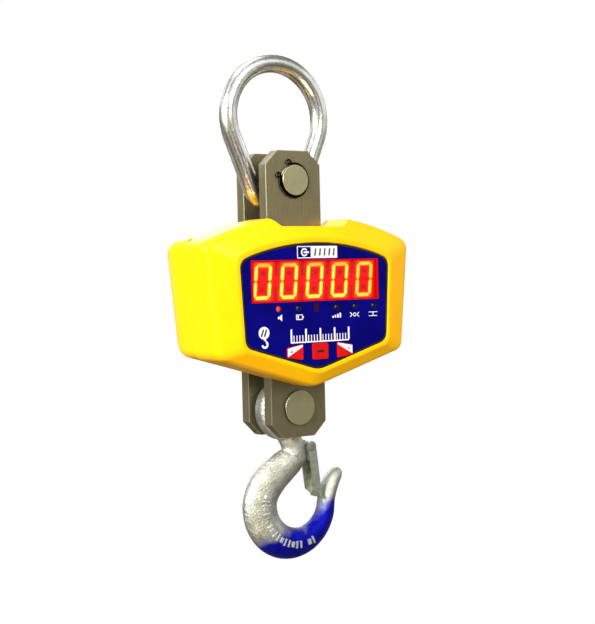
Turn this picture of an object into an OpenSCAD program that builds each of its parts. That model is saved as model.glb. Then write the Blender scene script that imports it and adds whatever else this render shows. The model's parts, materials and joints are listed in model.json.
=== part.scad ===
// Hanging crane scale: ring, clevis plates, load cell, lit display case and latched hook.
// Millimetres. +Z is up, the display faces -Y. The origin is the bearing point inside the
// ring's crown. Everything below the ring is drawn about the load line, half way between pins.

/* [Load train] */
// Distance between the two clevis pins
pin_spacing = 195; // [190:1:205]
// Diameter of both pins
pin_d = 26; // [24:0.5:27]
// Width of each clevis plate
plate_w = 56; // [52:1:60]
// Thickness of each clevis plate
plate_t = 11; // [9:0.5:12]
// Gap between the front and rear plates
plate_gap = 25; // [24:0.5:26]
// Plate beyond the centre of each pin
plate_end = 25.4; // [24:0.2:27]

/* [Suspension ring] */
// Diameter of the ring's bar
ring_bar_d = 16; // [14:0.5:16]
// Inside radius of the bow that goes on the crane hook
bow_r = 39; // [36:1:42]
// Inside radius of the small end that holds the pin
eye_r = 19.7; // [18:0.1:21]
// Distance between the centres of the two ends
ring_pitch = 50; // [46:1:54]
// How far back along its pin the ring hangs
ring_slide = 4; // [0:0.5:4]

/* [Case] */
// Half width of the case at its shoulders
case_hw = 105; // [100:1:110]
// Wall of the case shells
wall = 3; // [2.5:0.1:3.5]
// Front lip around the panel
lip_y = -56.5; // [-58:0.5:-56]
// Outer edge of the sloping front frame
edge_y = -47.5; // [-50:0.5:-46]
// Joint between the front and rear shells
parting_y = -13.5; // [-16:0.5:-10]
// Back face of the rear shell
back_y = 31.5; // [30:0.5:34]

/* [Panel] */
// Height of the digits
digit_h = 30; // [28:0.5:31]
// Distance from digit to digit
digit_pitch = 25.9; // [25:0.1:26.2]
// Width of the red window
window_w = 130; // [129:0.5:132]
// Height of the red window
window_h = 35; // [34:0.5:36]
// How far a key can be pressed
key_travel = 1; // [0.6:0.1:1.2]

/* [Hook] */
// Thickness of the hook's eye
hook_eye_t = 17; // [15:0.5:20]
// Width of the safety latch
latch_w = 15.6; // [14:0.2:16]

/* [Hidden] */
$fn = 64;

fit = 0.05;
slack = 0.3;

// load train
ring_r = ring_bar_d / 2;
ring_sides = 24;
bow_steps = 40;
eye_steps = 20;
bow_z = -bow_r;
eye_z = bow_z - ring_pitch;
upper_pin_z = eye_z - (eye_r - pin_d / 2 - slack);
case_z = upper_pin_z - pin_spacing / 2;
case_y = -ring_slide;
pin_z = pin_spacing / 2;
gap_y = plate_gap / 2;
plate_y = gap_y + plate_t;
plate_split = 8;
plate_chamfer = 12;
bolt_at = [14, 28];
bolt_d = 12;
pin_head_d = 32;
pin_head_t = 5;
pin_end = 3.7;
lower_head_d = 30;
lower_head_t = 2.4;
clip_t = 1.5;
clip_groove_d = pin_d - 1.8;

// case outlines: [half width, shoulder z, knee half width, knee z, apex z, crown radius, vertex z]
case_line = [case_hw, 46.5, 95.8, -50.5, 67, 250, -79.2];
crease_line = [79, 32, 75, -44.5, 47.8, 214, -67];
panel_line = [75.8, 29.5, 71.8, -41.6, 43, 210, -63.4];
rear_line = [case_hw - 1, 45.5, 94.8, -49.5, 55.5, 700, -77];
notch_z = 57;
notch_hw = 31.5;
notch_top_hw = 46;
slot_hw = plate_w / 2 + 1.5;
slot_y = plate_y + 1;
panel_y = -55.3;
pocket_y = -54.5;
front_in_y = pocket_y + 2.5;
back_in_y = back_y - wall;
gasket_t = 0.6;
screw_at = [[78, 34], [72, -37], [43, -43]];
boss_d = 9;
casing_screw_d = 4;

// electronics
digits = 5;
digit_z = 11.6;
digit_y = -51.8;
digit_slant = 5.5;
digit_w = 17;
segment_w = 3.2;
module_size = [25.6, 9, 39];
board_y = digit_y + module_size[1];
board_t = 1.6;
switch_tip_y = board_y - 5.5;
main_y = -36;
led_d = 5;
led_z = -11.2;
led_x = [-39, -19.5, 19.5, 39, 59];
ir_x = -1;
key_x = [-24, 1.5, 27];
key_z = -47.9;
key_w = 16;
key_inner_h = 13.6;
key_outer_h = 8;
key_face = -56.1;
standoff_at = [[62, 32], [62, -7]];
battery_x = [-76, -41];
battery_z = [-28, 25];
battery_y = [-22, 24];
cover_x = battery_x + [-3, 3];
cover_z = battery_z + [-4.8, 4.8];
cover_screw_at = [for (x = cover_x + [5, -5], z = cover_z + [2.3, -2.3]) [x, z]];
bracket_z = [12, 37];
bracket_end = 37;
bracket_at = [for (z = [18, 31]) [32.5, z]];
rocker_at = [58, 14];
socket_at = [58, -18];
rocker_tilt = 10;
trunnion_d = 2.4;
trunnion_x = 9.2;

// hook: stations from neck to tip, [x, z, half width, half thickness] about the lower pin
hook_eye_in = 16.4;
hook_eye_out = 27;
hook_eye_drop = hook_eye_in - pin_d / 2 - slack;
bowl_in = [12.2, -85.3, 23.5];
bowl_out = [3, -87, 47];
neck_stations = [[3.5, -25.5, 10.5, 8.2], [8.2, -36.5, 10.4, 9.2], [6.8, -46.5, 12.6, 9.8],
    [-2.6, -53, 14.6, 10.2], [-12.6, -60, 15.6, 10.4], [-20.6, -68.2, 16, 10.5],
    [-25.5, -76.4, 16, 10.5]];
tip_stations = [[45.8, -77, 7.2, 8.8], [49.2, -70.6, 6.9, 8.2], [53, -65.4, 6.2, 7.2],
    [55.7, -62.1, 4.6, 5.4], [57, -60.5, 2, 2.2]];
bowl_steps = 8;
sweep_steps = 3;
hook_sides = 20;

// latch, about the lower pin
latch_at = [23.3, -37.4];
latch_t = 2;
latch_pin_d = 5;
latch_boss_r = 4.9;
lug_t = 6.4;
latch_flange = [[19.8, -40.8], [22, -52], [25.4, -76.4], [33.2, -82.6], [28.4, -40]];
latch_web = [[27.6, -51], [29.6, -51], [33.2, -82], [35.6, -82.4], [35, -84.3], [31.2, -83]];

// ---------------------------------------------------------------- helpers

function unit(v) = v / norm(v);

// arc that rounds one corner p between its neighbours a and b
function fillet(a, p, b, r, n = 6) =
    let (u = unit(a - p), v = unit(b - p), c = unit(u + v))
    let (half = acos(u * v) / 2, o = p + c * r / sin(half))
    let (d = r / tan(half), s = p + u * d - o, e = p + v * d - o)
    let (a0 = atan2(s[1], s[0]), turn = atan2(e[1], e[0]) - a0)
    let (sweep = turn > 180 ? turn - 360 : turn < -180 ? turn + 360 : turn)
    [for (i = [0:n]) let (t = a0 + sweep * i / n) o + r * [cos(t), sin(t)]];

// closed outline with every corner rounded by its own radius, sharp where it is 0
function rounded(pts, radii) = let (m = len(pts)) [for (i = [0:m - 1])
    each radii[i] == 0 ? [pts[i]] : fillet(pts[(i + m - 1) % m], pts[i], pts[(i + 1) % m], radii[i])];

function mirrored(half) = concat(half, [for (i = [len(half) - 1:-1:0])
    if (abs(half[i][0]) > 0.01) [-half[i][0], half[i][1]]]);

// shield-shaped outline with a crowned top and a shallow pointed foot, shrunk by d
function shield(line, d = 0) =
    let (hw = line[0] - d, kw = line[2] - d * 0.95, apex = line[4] - d, foot = line[6] + d)
    let (r = line[5] - d, knee = line[3] + d * 0.85, cap_x = hw - 9)
    let (shoulder = [hw, apex - r + sqrt(r * r - hw * hw)])
    let (top = [for (x = [0:cap_x / 6:cap_x]) [x, apex - r + sqrt(r * r - x * x)]])
    let (corner = fillet(top[5], shoulder, [kw, knee], 9))
    let (bend = fillet(shoulder, [kw, knee], [0, foot], 9))
    let (toe = fillet([kw, knee], [0, foot], [-kw, knee], 25, 8))
    mirrored(concat([for (p = top) if (p[0] < corner[0][0]) p], corner, bend,
        [for (p = toe) if (p[0] >= 0) p]));

module along_y(y0, y1) translate([0, y1, 0]) rotate([90, 0, 0]) linear_extrude(y1 - y0) children();

module shield_slab(line, d, y0, y1) along_y(y0, y1) polygon(shield(line, d));

module rod_y(y0, y1, d) translate([0, y0, 0]) rotate([-90, 0, 0]) cylinder(h = y1 - y0, d = d);

module block(x, y, z) translate([x[0], y[0], z[0]]) cube([x[1] - x[0], y[1] - y[0], z[1] - z[0]]);

module in_case() translate([0, case_y, case_z]) children();

module at_lower_pin() translate([0, case_y, case_z - pin_z]) children();

module both_sides() {
    children();
    mirror([1, 0, 0]) children();
}

// ---------------------------------------------------------------- load train

// closed pear-shaped link: two arcs whose ends face each other along straight legs
module suspension_ring() {
    bow = bow_r + ring_r;
    eye = eye_r + ring_r;
    lean = asin((bow - eye) / ring_pitch);
    n = ring_sides;
    stops = concat([for (i = [0:bow_steps]) [bow_z, bow, -lean + i * (180 + 2 * lean) / bow_steps]],
        [for (i = [0:eye_steps]) [eye_z, eye, 180 + lean + i * (180 - 2 * lean) / eye_steps]]);
    rings = len(stops);
    color("gainsboro") polyhedron(
        [for (s = stops, j = [0:n - 1]) let (r = s[1] + ring_r * cos(360 * j / n))
            [r * cos(s[2]), ring_r * sin(360 * j / n), s[0] + r * sin(s[2])]],
        [for (i = [0:rings - 1], j = [0:n - 1]) let (k = (i + 1) % rings, m = (j + 1) % n)
            [i * n + m, i * n + j, k * n + j, k * n + m]]);
}

// one plate from the split at the load cell to the chamfered end beyond its pin
module clevis_plate(y0) {
    end = pin_z + plate_end;
    hw = plate_w / 2;
    cut = plate_chamfer;
    difference() {
        along_y(y0, y0 + plate_t) polygon([[-hw, plate_split], [hw, plate_split],
            [hw, end - cut], [hw - cut, end], [cut - hw, end], [-hw, end - cut]]);
        translate([0, 0, pin_z]) rod_y(y0 - 1, y0 + plate_t + 1, pin_d);
        both_sides() translate([bolt_at[0], 0, bolt_at[1]]) rod_y(y0 - 1, y0 + plate_t + 1, bolt_d);
    }
}

module upper_front_plate() color("#8a8560") in_case() clevis_plate(-plate_y);

module upper_rear_plate() color("#8a8560") in_case() clevis_plate(gap_y);

module lower_front_plate() color("#8a8560") in_case() mirror([0, 0, 1]) clevis_plate(-plate_y);

module lower_rear_plate() color("#8a8560") in_case() mirror([0, 0, 1]) clevis_plate(gap_y);

// plain end in front with its clip groove, head behind
module upper_pin() color("#b9b48c") in_case() translate([0, 0, pin_z]) difference() {
    union() {
        rod_y(-plate_y - pin_end, plate_y, pin_d);
        rod_y(plate_y, plate_y + pin_head_t, pin_head_d);
    }
    clip_groove(-plate_y - clip_t - fit);
}

// head in front, clipped behind
module lower_pin() color("#b9b48c") in_case() translate([0, 0, -pin_z]) difference() {
    union() {
        rod_y(-plate_y - lower_head_t, -plate_y, lower_head_d);
        rod_y(-plate_y, plate_y + pin_end, pin_d);
    }
    clip_groove(plate_y);
}

module clip_groove(y) difference() {
    rod_y(y, y + clip_t + fit, pin_d + 2);
    rod_y(y - 1, y + clip_t + 1, clip_groove_d);
}

// external retaining ring, open between its two plier lugs
module circlip(y, open_from, open_to) {
    lug_r = pin_d / 2 + 3.2;
    gap = [for (a = [open_from:(open_to - open_from) / 4:open_to]) 30 * [cos(a), sin(a)]];
    along_y(y, y + clip_t) {
        difference() {
            circle(d = pin_d + 5);
            circle(d = clip_groove_d);
            polygon(concat([[0, 0]], gap));
        }
        for (a = [open_from, open_to]) rotate(a) difference() {
            translate([lug_r, 0]) circle(d = 5.6);
            translate([lug_r + 0.4, 0]) circle(d = 2, $fn = 24);
            circle(d = clip_groove_d);
        }
    }
}

module upper_circlip() color("#15151a") in_case() translate([0, 0, pin_z])
    circlip(-plate_y - clip_t, 108, 165);

module lower_circlip() color("#15151a") in_case() translate([0, 0, -pin_z])
    circlip(plate_y, 60, 120);

// tension cell with a slotted sensing section between its two pairs of bolts
module load_cell() color("silver") in_case() difference() {
    block([-25, 25], [-gap_y, gap_y], [-46, 46]);
    for (s = [-1, 1]) both_sides() translate([bolt_at[0], 0, s * bolt_at[1]])
        rod_y(-gap_y - 1, gap_y + 1, bolt_d);
    both_sides() translate([9, 0, 0]) rod_y(-gap_y - 1, gap_y + 1, 11);
    block([-9, 9], [-gap_y - 1, gap_y + 1], [-1.5, 1.5]);
}

module gauge_covers() color("dimgray") in_case() for (y = [-gap_y - 1.2, gap_y])
    block([-19, 19], [y, y + 1.2], [-7, 7]);

module cell_bolts() color("#9a9a9a") in_case() for (s = [-1, 1]) both_sides()
    translate([bolt_at[0], 0, s * bolt_at[1]]) difference() {
        union() {
            rod_y(-plate_y, plate_y, bolt_d);
            translate([0, -plate_y - 6, 0]) rotate([-90, 0, 0]) cylinder(h = 6, d = 20.8, $fn = 6);
        }
        translate([0, -plate_y - 7, 0]) rotate([-90, 0, 0]) cylinder(h = 1.6, d = 15);
    }

// lead from the cell's side to the back of the main board
module cell_cable() color("#202020") in_case() {
    translate([25, 0, 0]) rotate([0, 90, 0]) cylinder(h = 9, d = 4);
    translate([34, -6, 0]) rotate_extrude(angle = 90) translate([6, 0]) circle(2);
    translate([40, 0, 0]) rod_y(main_y + board_t, -6, 4);
}

// ---------------------------------------------------------------- case

module notch(y0, y1) along_y(y0, y1) polygon([[-notch_hw, notch_z], [notch_hw, notch_z],
    [notch_top_hw, notch_z + 12], [-notch_top_hw, notch_z + 12]]);

module plate_slots() block([-slot_hw, slot_hw], [-slot_y, slot_y], [-100, 100]);

module screw_places() both_sides() for (p = screw_at) translate([p[0], 0, p[1]]) children();

// hollow of the front shell, which stays below the floor of the notch
module front_cavity() difference() {
    union() {
        hull() {
            shield_slab(crease_line, wall + 1, front_in_y, front_in_y + 0.5);
            shield_slab(case_line, wall, edge_y + 3, edge_y + 3.5);
        }
        shield_slab(case_line, wall, edge_y + 3.5, parting_y + 1);
    }
    block([-60, 60], [edge_y - 1, parting_y + 2], [notch_z - wall, 90]);
}

// rim that closes the step between the taller front shell and the rear shell
module step_wall() difference() {
    shield_slab(case_line, 0.5, parting_y - wall, parting_y);
    shield_slab(rear_line, wall + 1, parting_y - wall - 1, parting_y + 1);
}

module front_casing() color("#ffd21f") in_case() difference() {
    union() {
        difference() {
            union() {
                hull() {
                    shield_slab(crease_line, 0, lip_y, lip_y + 0.5);
                    shield_slab(case_line, 0.8, edge_y - 1.2, edge_y - 1);
                    shield_slab(case_line, 0, edge_y + 1, edge_y + 2);
                }
                shield_slab(case_line, 0, edge_y + 2, parting_y);
            }
            front_cavity();
        }
        step_wall();
        screw_places() rod_y(front_in_y - 1, parting_y, boss_d);
    }
    notch(lip_y - 1, parting_y + 1);
    shield_slab(panel_line, -0.4, lip_y - 1, pocket_y);
    block([-window_w / 2, window_w / 2], [pocket_y - 1, front_in_y + 1],
        [digit_z - window_h / 2, digit_z + window_h / 2]);
    for (x = led_x) translate([x, 0, led_z]) rod_y(pocket_y - 1, front_in_y + 1, led_d + 0.6);
    block([ir_x - 2.6, ir_x + 2.6], [pocket_y - 1, front_in_y + 1], [led_z - 3.6, led_z + 3.6]);
    for (i = [0:2]) key_prism(i, slack, pocket_y - 1, front_in_y + 1);
    screw_places() rod_y(edge_y + 5, parting_y + 1, casing_screw_d);
    plate_slots();
}

module rear_casing() color("#ffe01f") in_case() difference() {
    union() {
        difference() {
            hull() {
                shield_slab(rear_line, 0, parting_y + gasket_t, 2);
                shield_slab(rear_line, 3, 17, 17.5);
                shield_slab(rear_line, 9, 27, 27.5);
                shield_slab(rear_line, 14, back_y - 0.5, back_y);
            }
            hull() {
                shield_slab(rear_line, wall, parting_y - 1, 0);
                shield_slab(rear_line, wall + 9, 24, 24.5);
                shield_slab(rear_line, wall + 13, back_in_y - 0.5, back_in_y);
            }
        }
        screw_places() rod_y(parting_y + gasket_t, back_in_y, boss_d);
    }
    screw_places() rod_y(parting_y - 1, back_y + 1, casing_screw_d);
    screw_places() rod_y(back_y - 3, back_y + 1, 7.6);
    block(battery_x + [-0.5, 0.5], [back_in_y - 1, back_y + 1], battery_z + [-0.5, 0.5]);
    for (p = cover_screw_at) translate([p[0], 0, p[1]]) rod_y(back_in_y - 1, back_y + 1, 2.6);
    both_sides() for (p = bracket_at) translate([p[0], 0, p[1]]) rod_y(back_in_y - 1, back_y + 1, 4);
    translate([socket_at[0], 0, socket_at[1]]) rod_y(back_in_y - 1, back_y + 1, 12);
    translate([rocker_at[0], 0, rocker_at[1]])
        block([-10.5, 10.5], [back_in_y - 1, back_y + 1], [-7.5, 7.5]);
    plate_slots();
}

// flat gasket between the two shells, in two lengths that stop at the plates
module casing_gasket() color("#303030") in_case() difference() {
    shield_slab(rear_line, 0.8, parting_y, parting_y + gasket_t);
    shield_slab(rear_line, wall, parting_y - 1, parting_y + 1);
    block([-slot_hw, slot_hw], [parting_y - 1, parting_y + 1], [-90, 90]);
}

// cheese heads sit in the counterbores of the rear shell
module casing_screws() color("#c8c8c8") in_case() screw_places() difference() {
    union() {
        rod_y(edge_y + 8, back_y - 1, casing_screw_d);
        rod_y(back_y - 3, back_y - 0.6, 7);
    }
    cross_recess(back_y - 0.6, 4);
}

module cross_recess(y, w) {
    block([-w / 2, w / 2], [y - 1, y + 1], [-0.4, 0.4]);
    block([-0.4, 0.4], [y - 1, y + 1], [-w / 2, w / 2]);
}

// rubber filler around and between the plates where they leave the case
module plate_seal(z0, z1) difference() {
    block([-slot_hw, slot_hw], [-slot_y, slot_y], [z0, z1]);
    for (y = [-plate_y, gap_y]) block([-plate_w / 2, plate_w / 2], [y, y + plate_t], [z0 - 1, z1 + 1]);
}

module upper_seal() color("#222222") in_case() plate_seal(notch_z - 8, notch_z - 2);

module lower_seal() color("#222222") in_case() plate_seal(-66, -61);

// bent steel angles that carry the rear shell on the upper plates
module casing_brackets() color("#a0a0a0") in_case() both_sides() difference() {
    union() {
        block([plate_w / 2, plate_w / 2 + 2], [-20, back_in_y], bracket_z);
        block([plate_w / 2, bracket_end], [back_in_y - 2, back_in_y], bracket_z);
    }
    for (p = bracket_at) translate([p[0], 0, p[1]]) rod_y(back_in_y - 3, back_in_y + 1, 4);
    for (p = bracket_at) translate([plate_w / 2 - 1, -16, p[1]])
        rotate([0, 90, 0]) cylinder(h = 4, d = 5);
}

module bracket_screws() color("#c8c8c8") in_case() both_sides() for (p = bracket_at) {
    translate([p[0], 0, p[1]]) difference() {
        union() {
            rod_y(back_in_y - 4, back_y, 4);
            rod_y(back_y, back_y + 2.2, 7);
        }
        cross_recess(back_y + 2.2, 4);
    }
    translate([plate_w / 2, -16, p[1]]) rotate([0, 90, 0]) cylinder(h = 2, d = 5);
    translate([plate_w / 2 + 2, -16, p[1]]) rotate([0, 90, 0]) cylinder(h = 2.6, d = 8.6);
}

// ---------------------------------------------------------------- front panel and keys

// outline of key i, grown by d: the outer keys taper away from the middle one
function key_outline(i, d) =
    let (h0 = (i == 0 ? key_outer_h : key_inner_h) / 2 + d)
    let (h1 = (i == 2 ? key_outer_h : key_inner_h) / 2 + d)
    let (w = key_w / 2 + d, x = key_x[i])
    rounded([[x - w, key_z - h0], [x + w, key_z - h1], [x + w, key_z + h1], [x - w, key_z + h0]],
        [1.5, 1.5, 1.5, 1.5]);

module key_prism(i, d, y0, y1) along_y(y0, y1) polygon(key_outline(i, d));

module key(i) {
    key_prism(i, 0, key_face, front_in_y + 0.2);
    key_prism(i, 0.6, front_in_y + 0.2, front_in_y + 1.2);
    translate([key_x[i], 0, key_z]) rod_y(front_in_y + 1.2, switch_tip_y - key_travel - 0.1, 6);
}

module left_key() color("crimson") in_case() key(0);

module centre_key() color("red") in_case() key(1);

module right_key() color("crimson") in_case() key(2);

module front_panel() color("#08085a") in_case() difference() {
    shield_slab(panel_line, 0, panel_y, pocket_y);
    block([-window_w / 2, window_w / 2], [panel_y - 1, pocket_y + 1],
        [digit_z - window_h / 2, digit_z + window_h / 2]);
    for (x = led_x) translate([x, 0, led_z]) rod_y(panel_y - 1, pocket_y + 1, led_d + 0.3);
    block([ir_x - 2.3, ir_x + 2.3], [panel_y - 1, pocket_y + 1], [led_z - 3.3, led_z + 3.3]);
    for (i = [0:2]) key_prism(i, slack, panel_y - 1, pocket_y + 1);
}

module display_window() color("red", 0.5) in_case() block([-window_w / 2 + 0.1, window_w / 2 - 0.1],
    [panel_y + 0.1, front_in_y], [digit_z - window_h / 2 + 0.1, digit_z + window_h / 2 - 0.1]);

// ---------------------------------------------------------------- display electronics

module each_digit() for (i = [0:digits - 1])
    translate([(i - (digits - 1) / 2) * digit_pitch, 0, digit_z]) children();

module digit_modules() color("#3a0505") in_case() each_digit()
    translate([-module_size[0] / 2, digit_y + 0.1, -module_size[2] / 2])
        cube(module_size - [0, 0.1, 0]);

// one bar of a digit between two of its nodes, leaning with the digit
function bar(a, b) =
    let (u = unit(b - a), v = [-u[1], u[0]], h = segment_w / 2, s = a + u * 0.35, e = b - u * 0.35)
    [for (p = [s, s + (u + v) * h, e + (v - u) * h, e, e - (u + v) * h, s + (u - v) * h])
        [p[0] + p[1] * tan(digit_slant), p[1]]];

module digit_segments() color("gold") in_case() each_digit() {
    x = (digit_w - segment_w) / 2;
    z = (digit_h - segment_w) / 2;
    bars = [[[-x, z], [x, z]], [[x, 0], [x, z]], [[x, -z], [x, 0]], [[-x, -z], [x, -z]],
        [[-x, -z], [-x, 0]], [[-x, 0], [-x, z]], [[-x, 0], [x, 0]]];
    for (b = bars) along_y(digit_y - 0.2, digit_y + 0.1) polygon(bar(b[0], b[1]));
}

module display_board() color("darkgreen") in_case() difference() {
    along_y(board_y, board_y + board_t) polygon([[-68, -16], [-34, -16], [-34, -57], [34, -57],
        [34, -16], [68, -16], [68, 38], [-68, 38]]);
    both_sides() for (p = standoff_at) translate([p[0], 0, p[1]]) rod_y(board_y - 1, board_y + 3, 3);
}

// threaded pillars from the front wall through the display board to the main board
module board_standoffs() color("#d0c080") in_case() both_sides() for (p = standoff_at)
    translate([p[0], 0, p[1]]) {
        rod_y(board_y, board_y + board_t, 3);
        translate([0, board_y + board_t, 0]) rotate([-90, 0, 0])
            cylinder(h = main_y - board_y - board_t, d = 6, $fn = 6);
    }

module main_board() color("seagreen") in_case() {
    block([-66, 66], [main_y, main_y + board_t], [-12, 36]);
    block([-30, -10], [main_y - 2.4, main_y], [4, 24]);
    block([12, 26], [main_y - 2, main_y], [8, 18]);
    block([-60, -46], [main_y + board_t, main_y + board_t + 5], [14, 22]);
}

module indicator_leds() color("darkred") in_case() for (x = led_x) translate([x, 0, led_z]) {
    rod_y(-52.6, board_y, led_d);
    translate([0, -52.6, 0]) sphere(d = led_d);
    rod_y(board_y - 1.5, board_y, led_d + 1);
}

module ir_receiver() color("#300008") in_case() translate([ir_x, 0, led_z]) {
    block([-2.2, 2.2], [panel_y + 0.2, -49], [-3.2, 3.2]);
    for (x = [-1.3, 0, 1.3]) translate([x, 0, 0]) rod_y(-49, board_y, 0.8);
}

module buzzer() color("#181818") in_case() translate([40, 0, 24]) difference() {
    rod_y(main_y - 5, main_y, 12);
    rod_y(main_y - 6, main_y - 3, 2);
}

module tact_switches() color("#404040") in_case() for (x = key_x) translate([x, 0, key_z]) {
    block([-3, 3], [board_y - 4, board_y], [-3, 3]);
    rod_y(switch_tip_y, board_y - 4, 3.4);
}

// ---------------------------------------------------------------- power

module battery() color("#2a3550") in_case() {
    block(battery_x, battery_y, battery_z);
    for (x = [-70, -48]) translate([x, 0, 20])
        block([-2.4, 2.4], [battery_y[0] - 3, battery_y[0]], [-3, 3]);
}

module battery_lead() color("#b01818") in_case() for (x = [-51.6, -48.4]) translate([x, 0, 18])
    rod_y(main_y + board_t + 5, battery_y[0] - 3, 1.8);

module battery_cover() color("#ffe01f") in_case() difference() {
    union() {
        along_y(back_y, back_y + 2.5) polygon(rounded([[cover_x[0], cover_z[0]],
            [cover_x[1], cover_z[0]], [cover_x[1], cover_z[1]], [cover_x[0], cover_z[1]]], [4, 4, 4, 4]));
        block(battery_x, [battery_y[1] + 0.5, back_y], battery_z);
    }
    block(battery_x + [2, -2], [battery_y[1] - 1, back_y], battery_z + [2, -2]);
    for (p = cover_screw_at) translate([p[0], 0, p[1]]) rod_y(back_y - 1, back_y + 4, 3);
}

module battery_cover_screws() color("#c8c8c8") in_case() for (p = cover_screw_at)
    translate([p[0], 0, p[1]]) difference() {
        union() {
            rod_y(back_in_y, back_y, 2.6);
            rod_y(back_y, back_y + 2.5, 3);
            rod_y(back_y + 2.5, back_y + 4, 4.5);
        }
        cross_recess(back_y + 4, 2.8);
    }

module charge_socket() color("#202020") in_case() translate([socket_at[0], 0, socket_at[1]])
    difference() {
        union() {
            rod_y(back_y - 14, back_y, 12);
            rod_y(back_y, back_y + 2, 16);
            rod_y(back_in_y - 3, back_in_y, 15);
        }
        rod_y(back_y - 10, back_y + 3, 6.4);
    }

// rubber cap on a top strap, its plug standing in the socket's mouth
module socket_cap() color("#181818") in_case() translate([socket_at[0], 0, socket_at[1]]) {
    rod_y(back_y + 2.2, back_y + 4.4, 17);
    rod_y(back_y - 1, back_y + 2.2, 5);
    block([-3, 3], [back_y + 2.2, back_y + 4.4], [4, 12]);
    translate([0, back_y + 3.3, 12]) rotate([0, 90, 0]) cylinder(h = 6, d = 3.4, center = true);
}

module switch_frame() color("#1c1c1c") in_case() translate([rocker_at[0], 0, rocker_at[1]])
    difference() {
        union() {
            block([-12, 12], [back_y, back_y + 1.6], [-9, 9]);
            block([-10.4, 10.4], [back_y - 14, back_y], [-7.4, 7.4]);
        }
        block([-8.4, 8.4], [back_y - 6, back_y + 2], [-6.2, 6.2]);
        translate([0, back_y - 1, 0]) rotate([0, 90, 0])
            cylinder(h = 2 * trunnion_x + 0.8, d = trunnion_d + 2 * slack, center = true);
    }

// see-saw button on two trunnions in the frame, pressed in at the top as it hangs
module power_rocker() color("#b00d0d") in_case()
    translate([rocker_at[0], back_y - 1, rocker_at[1]]) {
        rotate([rocker_tilt, 0, 0]) translate([-8, 0, 0]) rotate([90, 0, 90]) linear_extrude(16)
            polygon([[-2.5, -3], [-0.5, -5.6], [3.2, -5.6], [2, 0], [3.2, 5.6], [-0.5, 5.6],
                [-2.5, 3]]);
        rotate([0, 90, 0]) cylinder(h = 2 * trunnion_x, d = trunnion_d, center = true);
    }

// ---------------------------------------------------------------- hook and latch

function bowl_station(a) =
    let (u = [cos(a), sin(a)], p = [bowl_in[0], bowl_in[1]] + bowl_in[2] * u)
    let (q = [bowl_out[0], bowl_out[1]] + bowl_out[2] * u)
    [(p[0] + q[0]) / 2, (p[1] + q[1]) / 2, norm(q - p) / 2, 10.5 - 1.5 * pow((a - 180) / 180, 2)];

stations = concat(neck_stations, [for (i = [0:bowl_steps]) bowl_station(180 + 180 * i / bowl_steps)],
    tip_stations);

// smooth curve through four neighbouring stations
function between(a, b, c, d, t) = 0.5 * ((2 * b) + (c - a) * t + (2 * a - 5 * b + 4 * c - d) * t * t
    + (3 * b - a - 3 * c + d) * t * t * t);

last = len(stations) - 1;

path = [for (i = [0:last - 1], k = [0:sweep_steps - 1])
    between(stations[max(i - 1, 0)], stations[i], stations[i + 1], stations[min(i + 2, last)],
        k / sweep_steps), stations[last]];

function heading(i) = let (a = path[max(i - 1, 0)], b = path[min(i + 1, len(path) - 1)])
    unit([b[0] - a[0], b[1] - a[1]]);

// oval section across the path at point i
function section(i) = let (p = path[i], h = heading(i)) [for (j = [0:hook_sides - 1])
    let (a = 360 * j / hook_sides)
    [p[0] - h[1] * p[2] * cos(a), p[3] * sin(a), p[1] + h[0] * p[2] * cos(a)]];

module hook_sweep() {
    n = hook_sides;
    rings = len(path);
    polyhedron([for (i = [0:rings - 1]) each section(i)],
        concat([[for (j = [0:n - 1]) n - 1 - j]],
            [for (i = [0:rings - 2], j = [0:n - 1]) [i * n + j, i * n + (j + 1) % n,
                (i + 1) * n + (j + 1) % n, (i + 1) * n + j]],
            [[for (j = [0:n - 1]) (rings - 1) * n + j]]));
}

module latch_lug() along_y(-lug_t / 2, lug_t / 2) {
    translate(latch_at) circle(d = 8.6);
    polygon([[12, -30], latch_at + [-0.5, 4.3], latch_at + [-3, -3.1], [12, -46]]);
}

module hook() color("#c4c8c8") at_lower_pin() difference() {
    union() {
        translate([0, 0, -hook_eye_drop]) rotate([90, 0, 0]) rotate_extrude() {
            bar_w = hook_eye_out - hook_eye_in;
            mid_r = (hook_eye_out + hook_eye_in) / 2;
            square_h = hook_eye_t - bar_w;
            translate([hook_eye_in, -square_h / 2]) square([bar_w, square_h]);
            for (s = [-1, 1]) translate([mid_r, s * square_h / 2]) circle(bar_w / 2);
        }
        hook_sweep();
        latch_lug();
    }
    translate([latch_at[0], 0, latch_at[1]]) rod_y(-20, 20, latch_pin_d);
}

module latch_pin() color("#c8c8c8") at_lower_pin() translate([latch_at[0], 0, latch_at[1]]) {
    rod_y(-latch_w / 2 - 0.2, latch_w / 2 + 0.2, latch_pin_d);
    rod_y(-latch_w / 2 - 1.6, -latch_w / 2 - 0.2, 7.6);
    rod_y(latch_w / 2 + 0.2, latch_w / 2 + 1.6, 7.6);
}

module safety_latch() color("#a9b0a6") at_lower_pin() difference() {
    union() {
        for (y = [-latch_w / 2, latch_w / 2 - latch_t]) along_y(y, y + latch_t) {
            translate(latch_at) circle(latch_boss_r);
            polygon(latch_flange);
        }
        along_y(-latch_w / 2, latch_w / 2) polygon(latch_web);
    }
    translate([latch_at[0], 0, latch_at[1]]) rod_y(-20, 20, latch_pin_d + 2 * fit);
}

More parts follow.
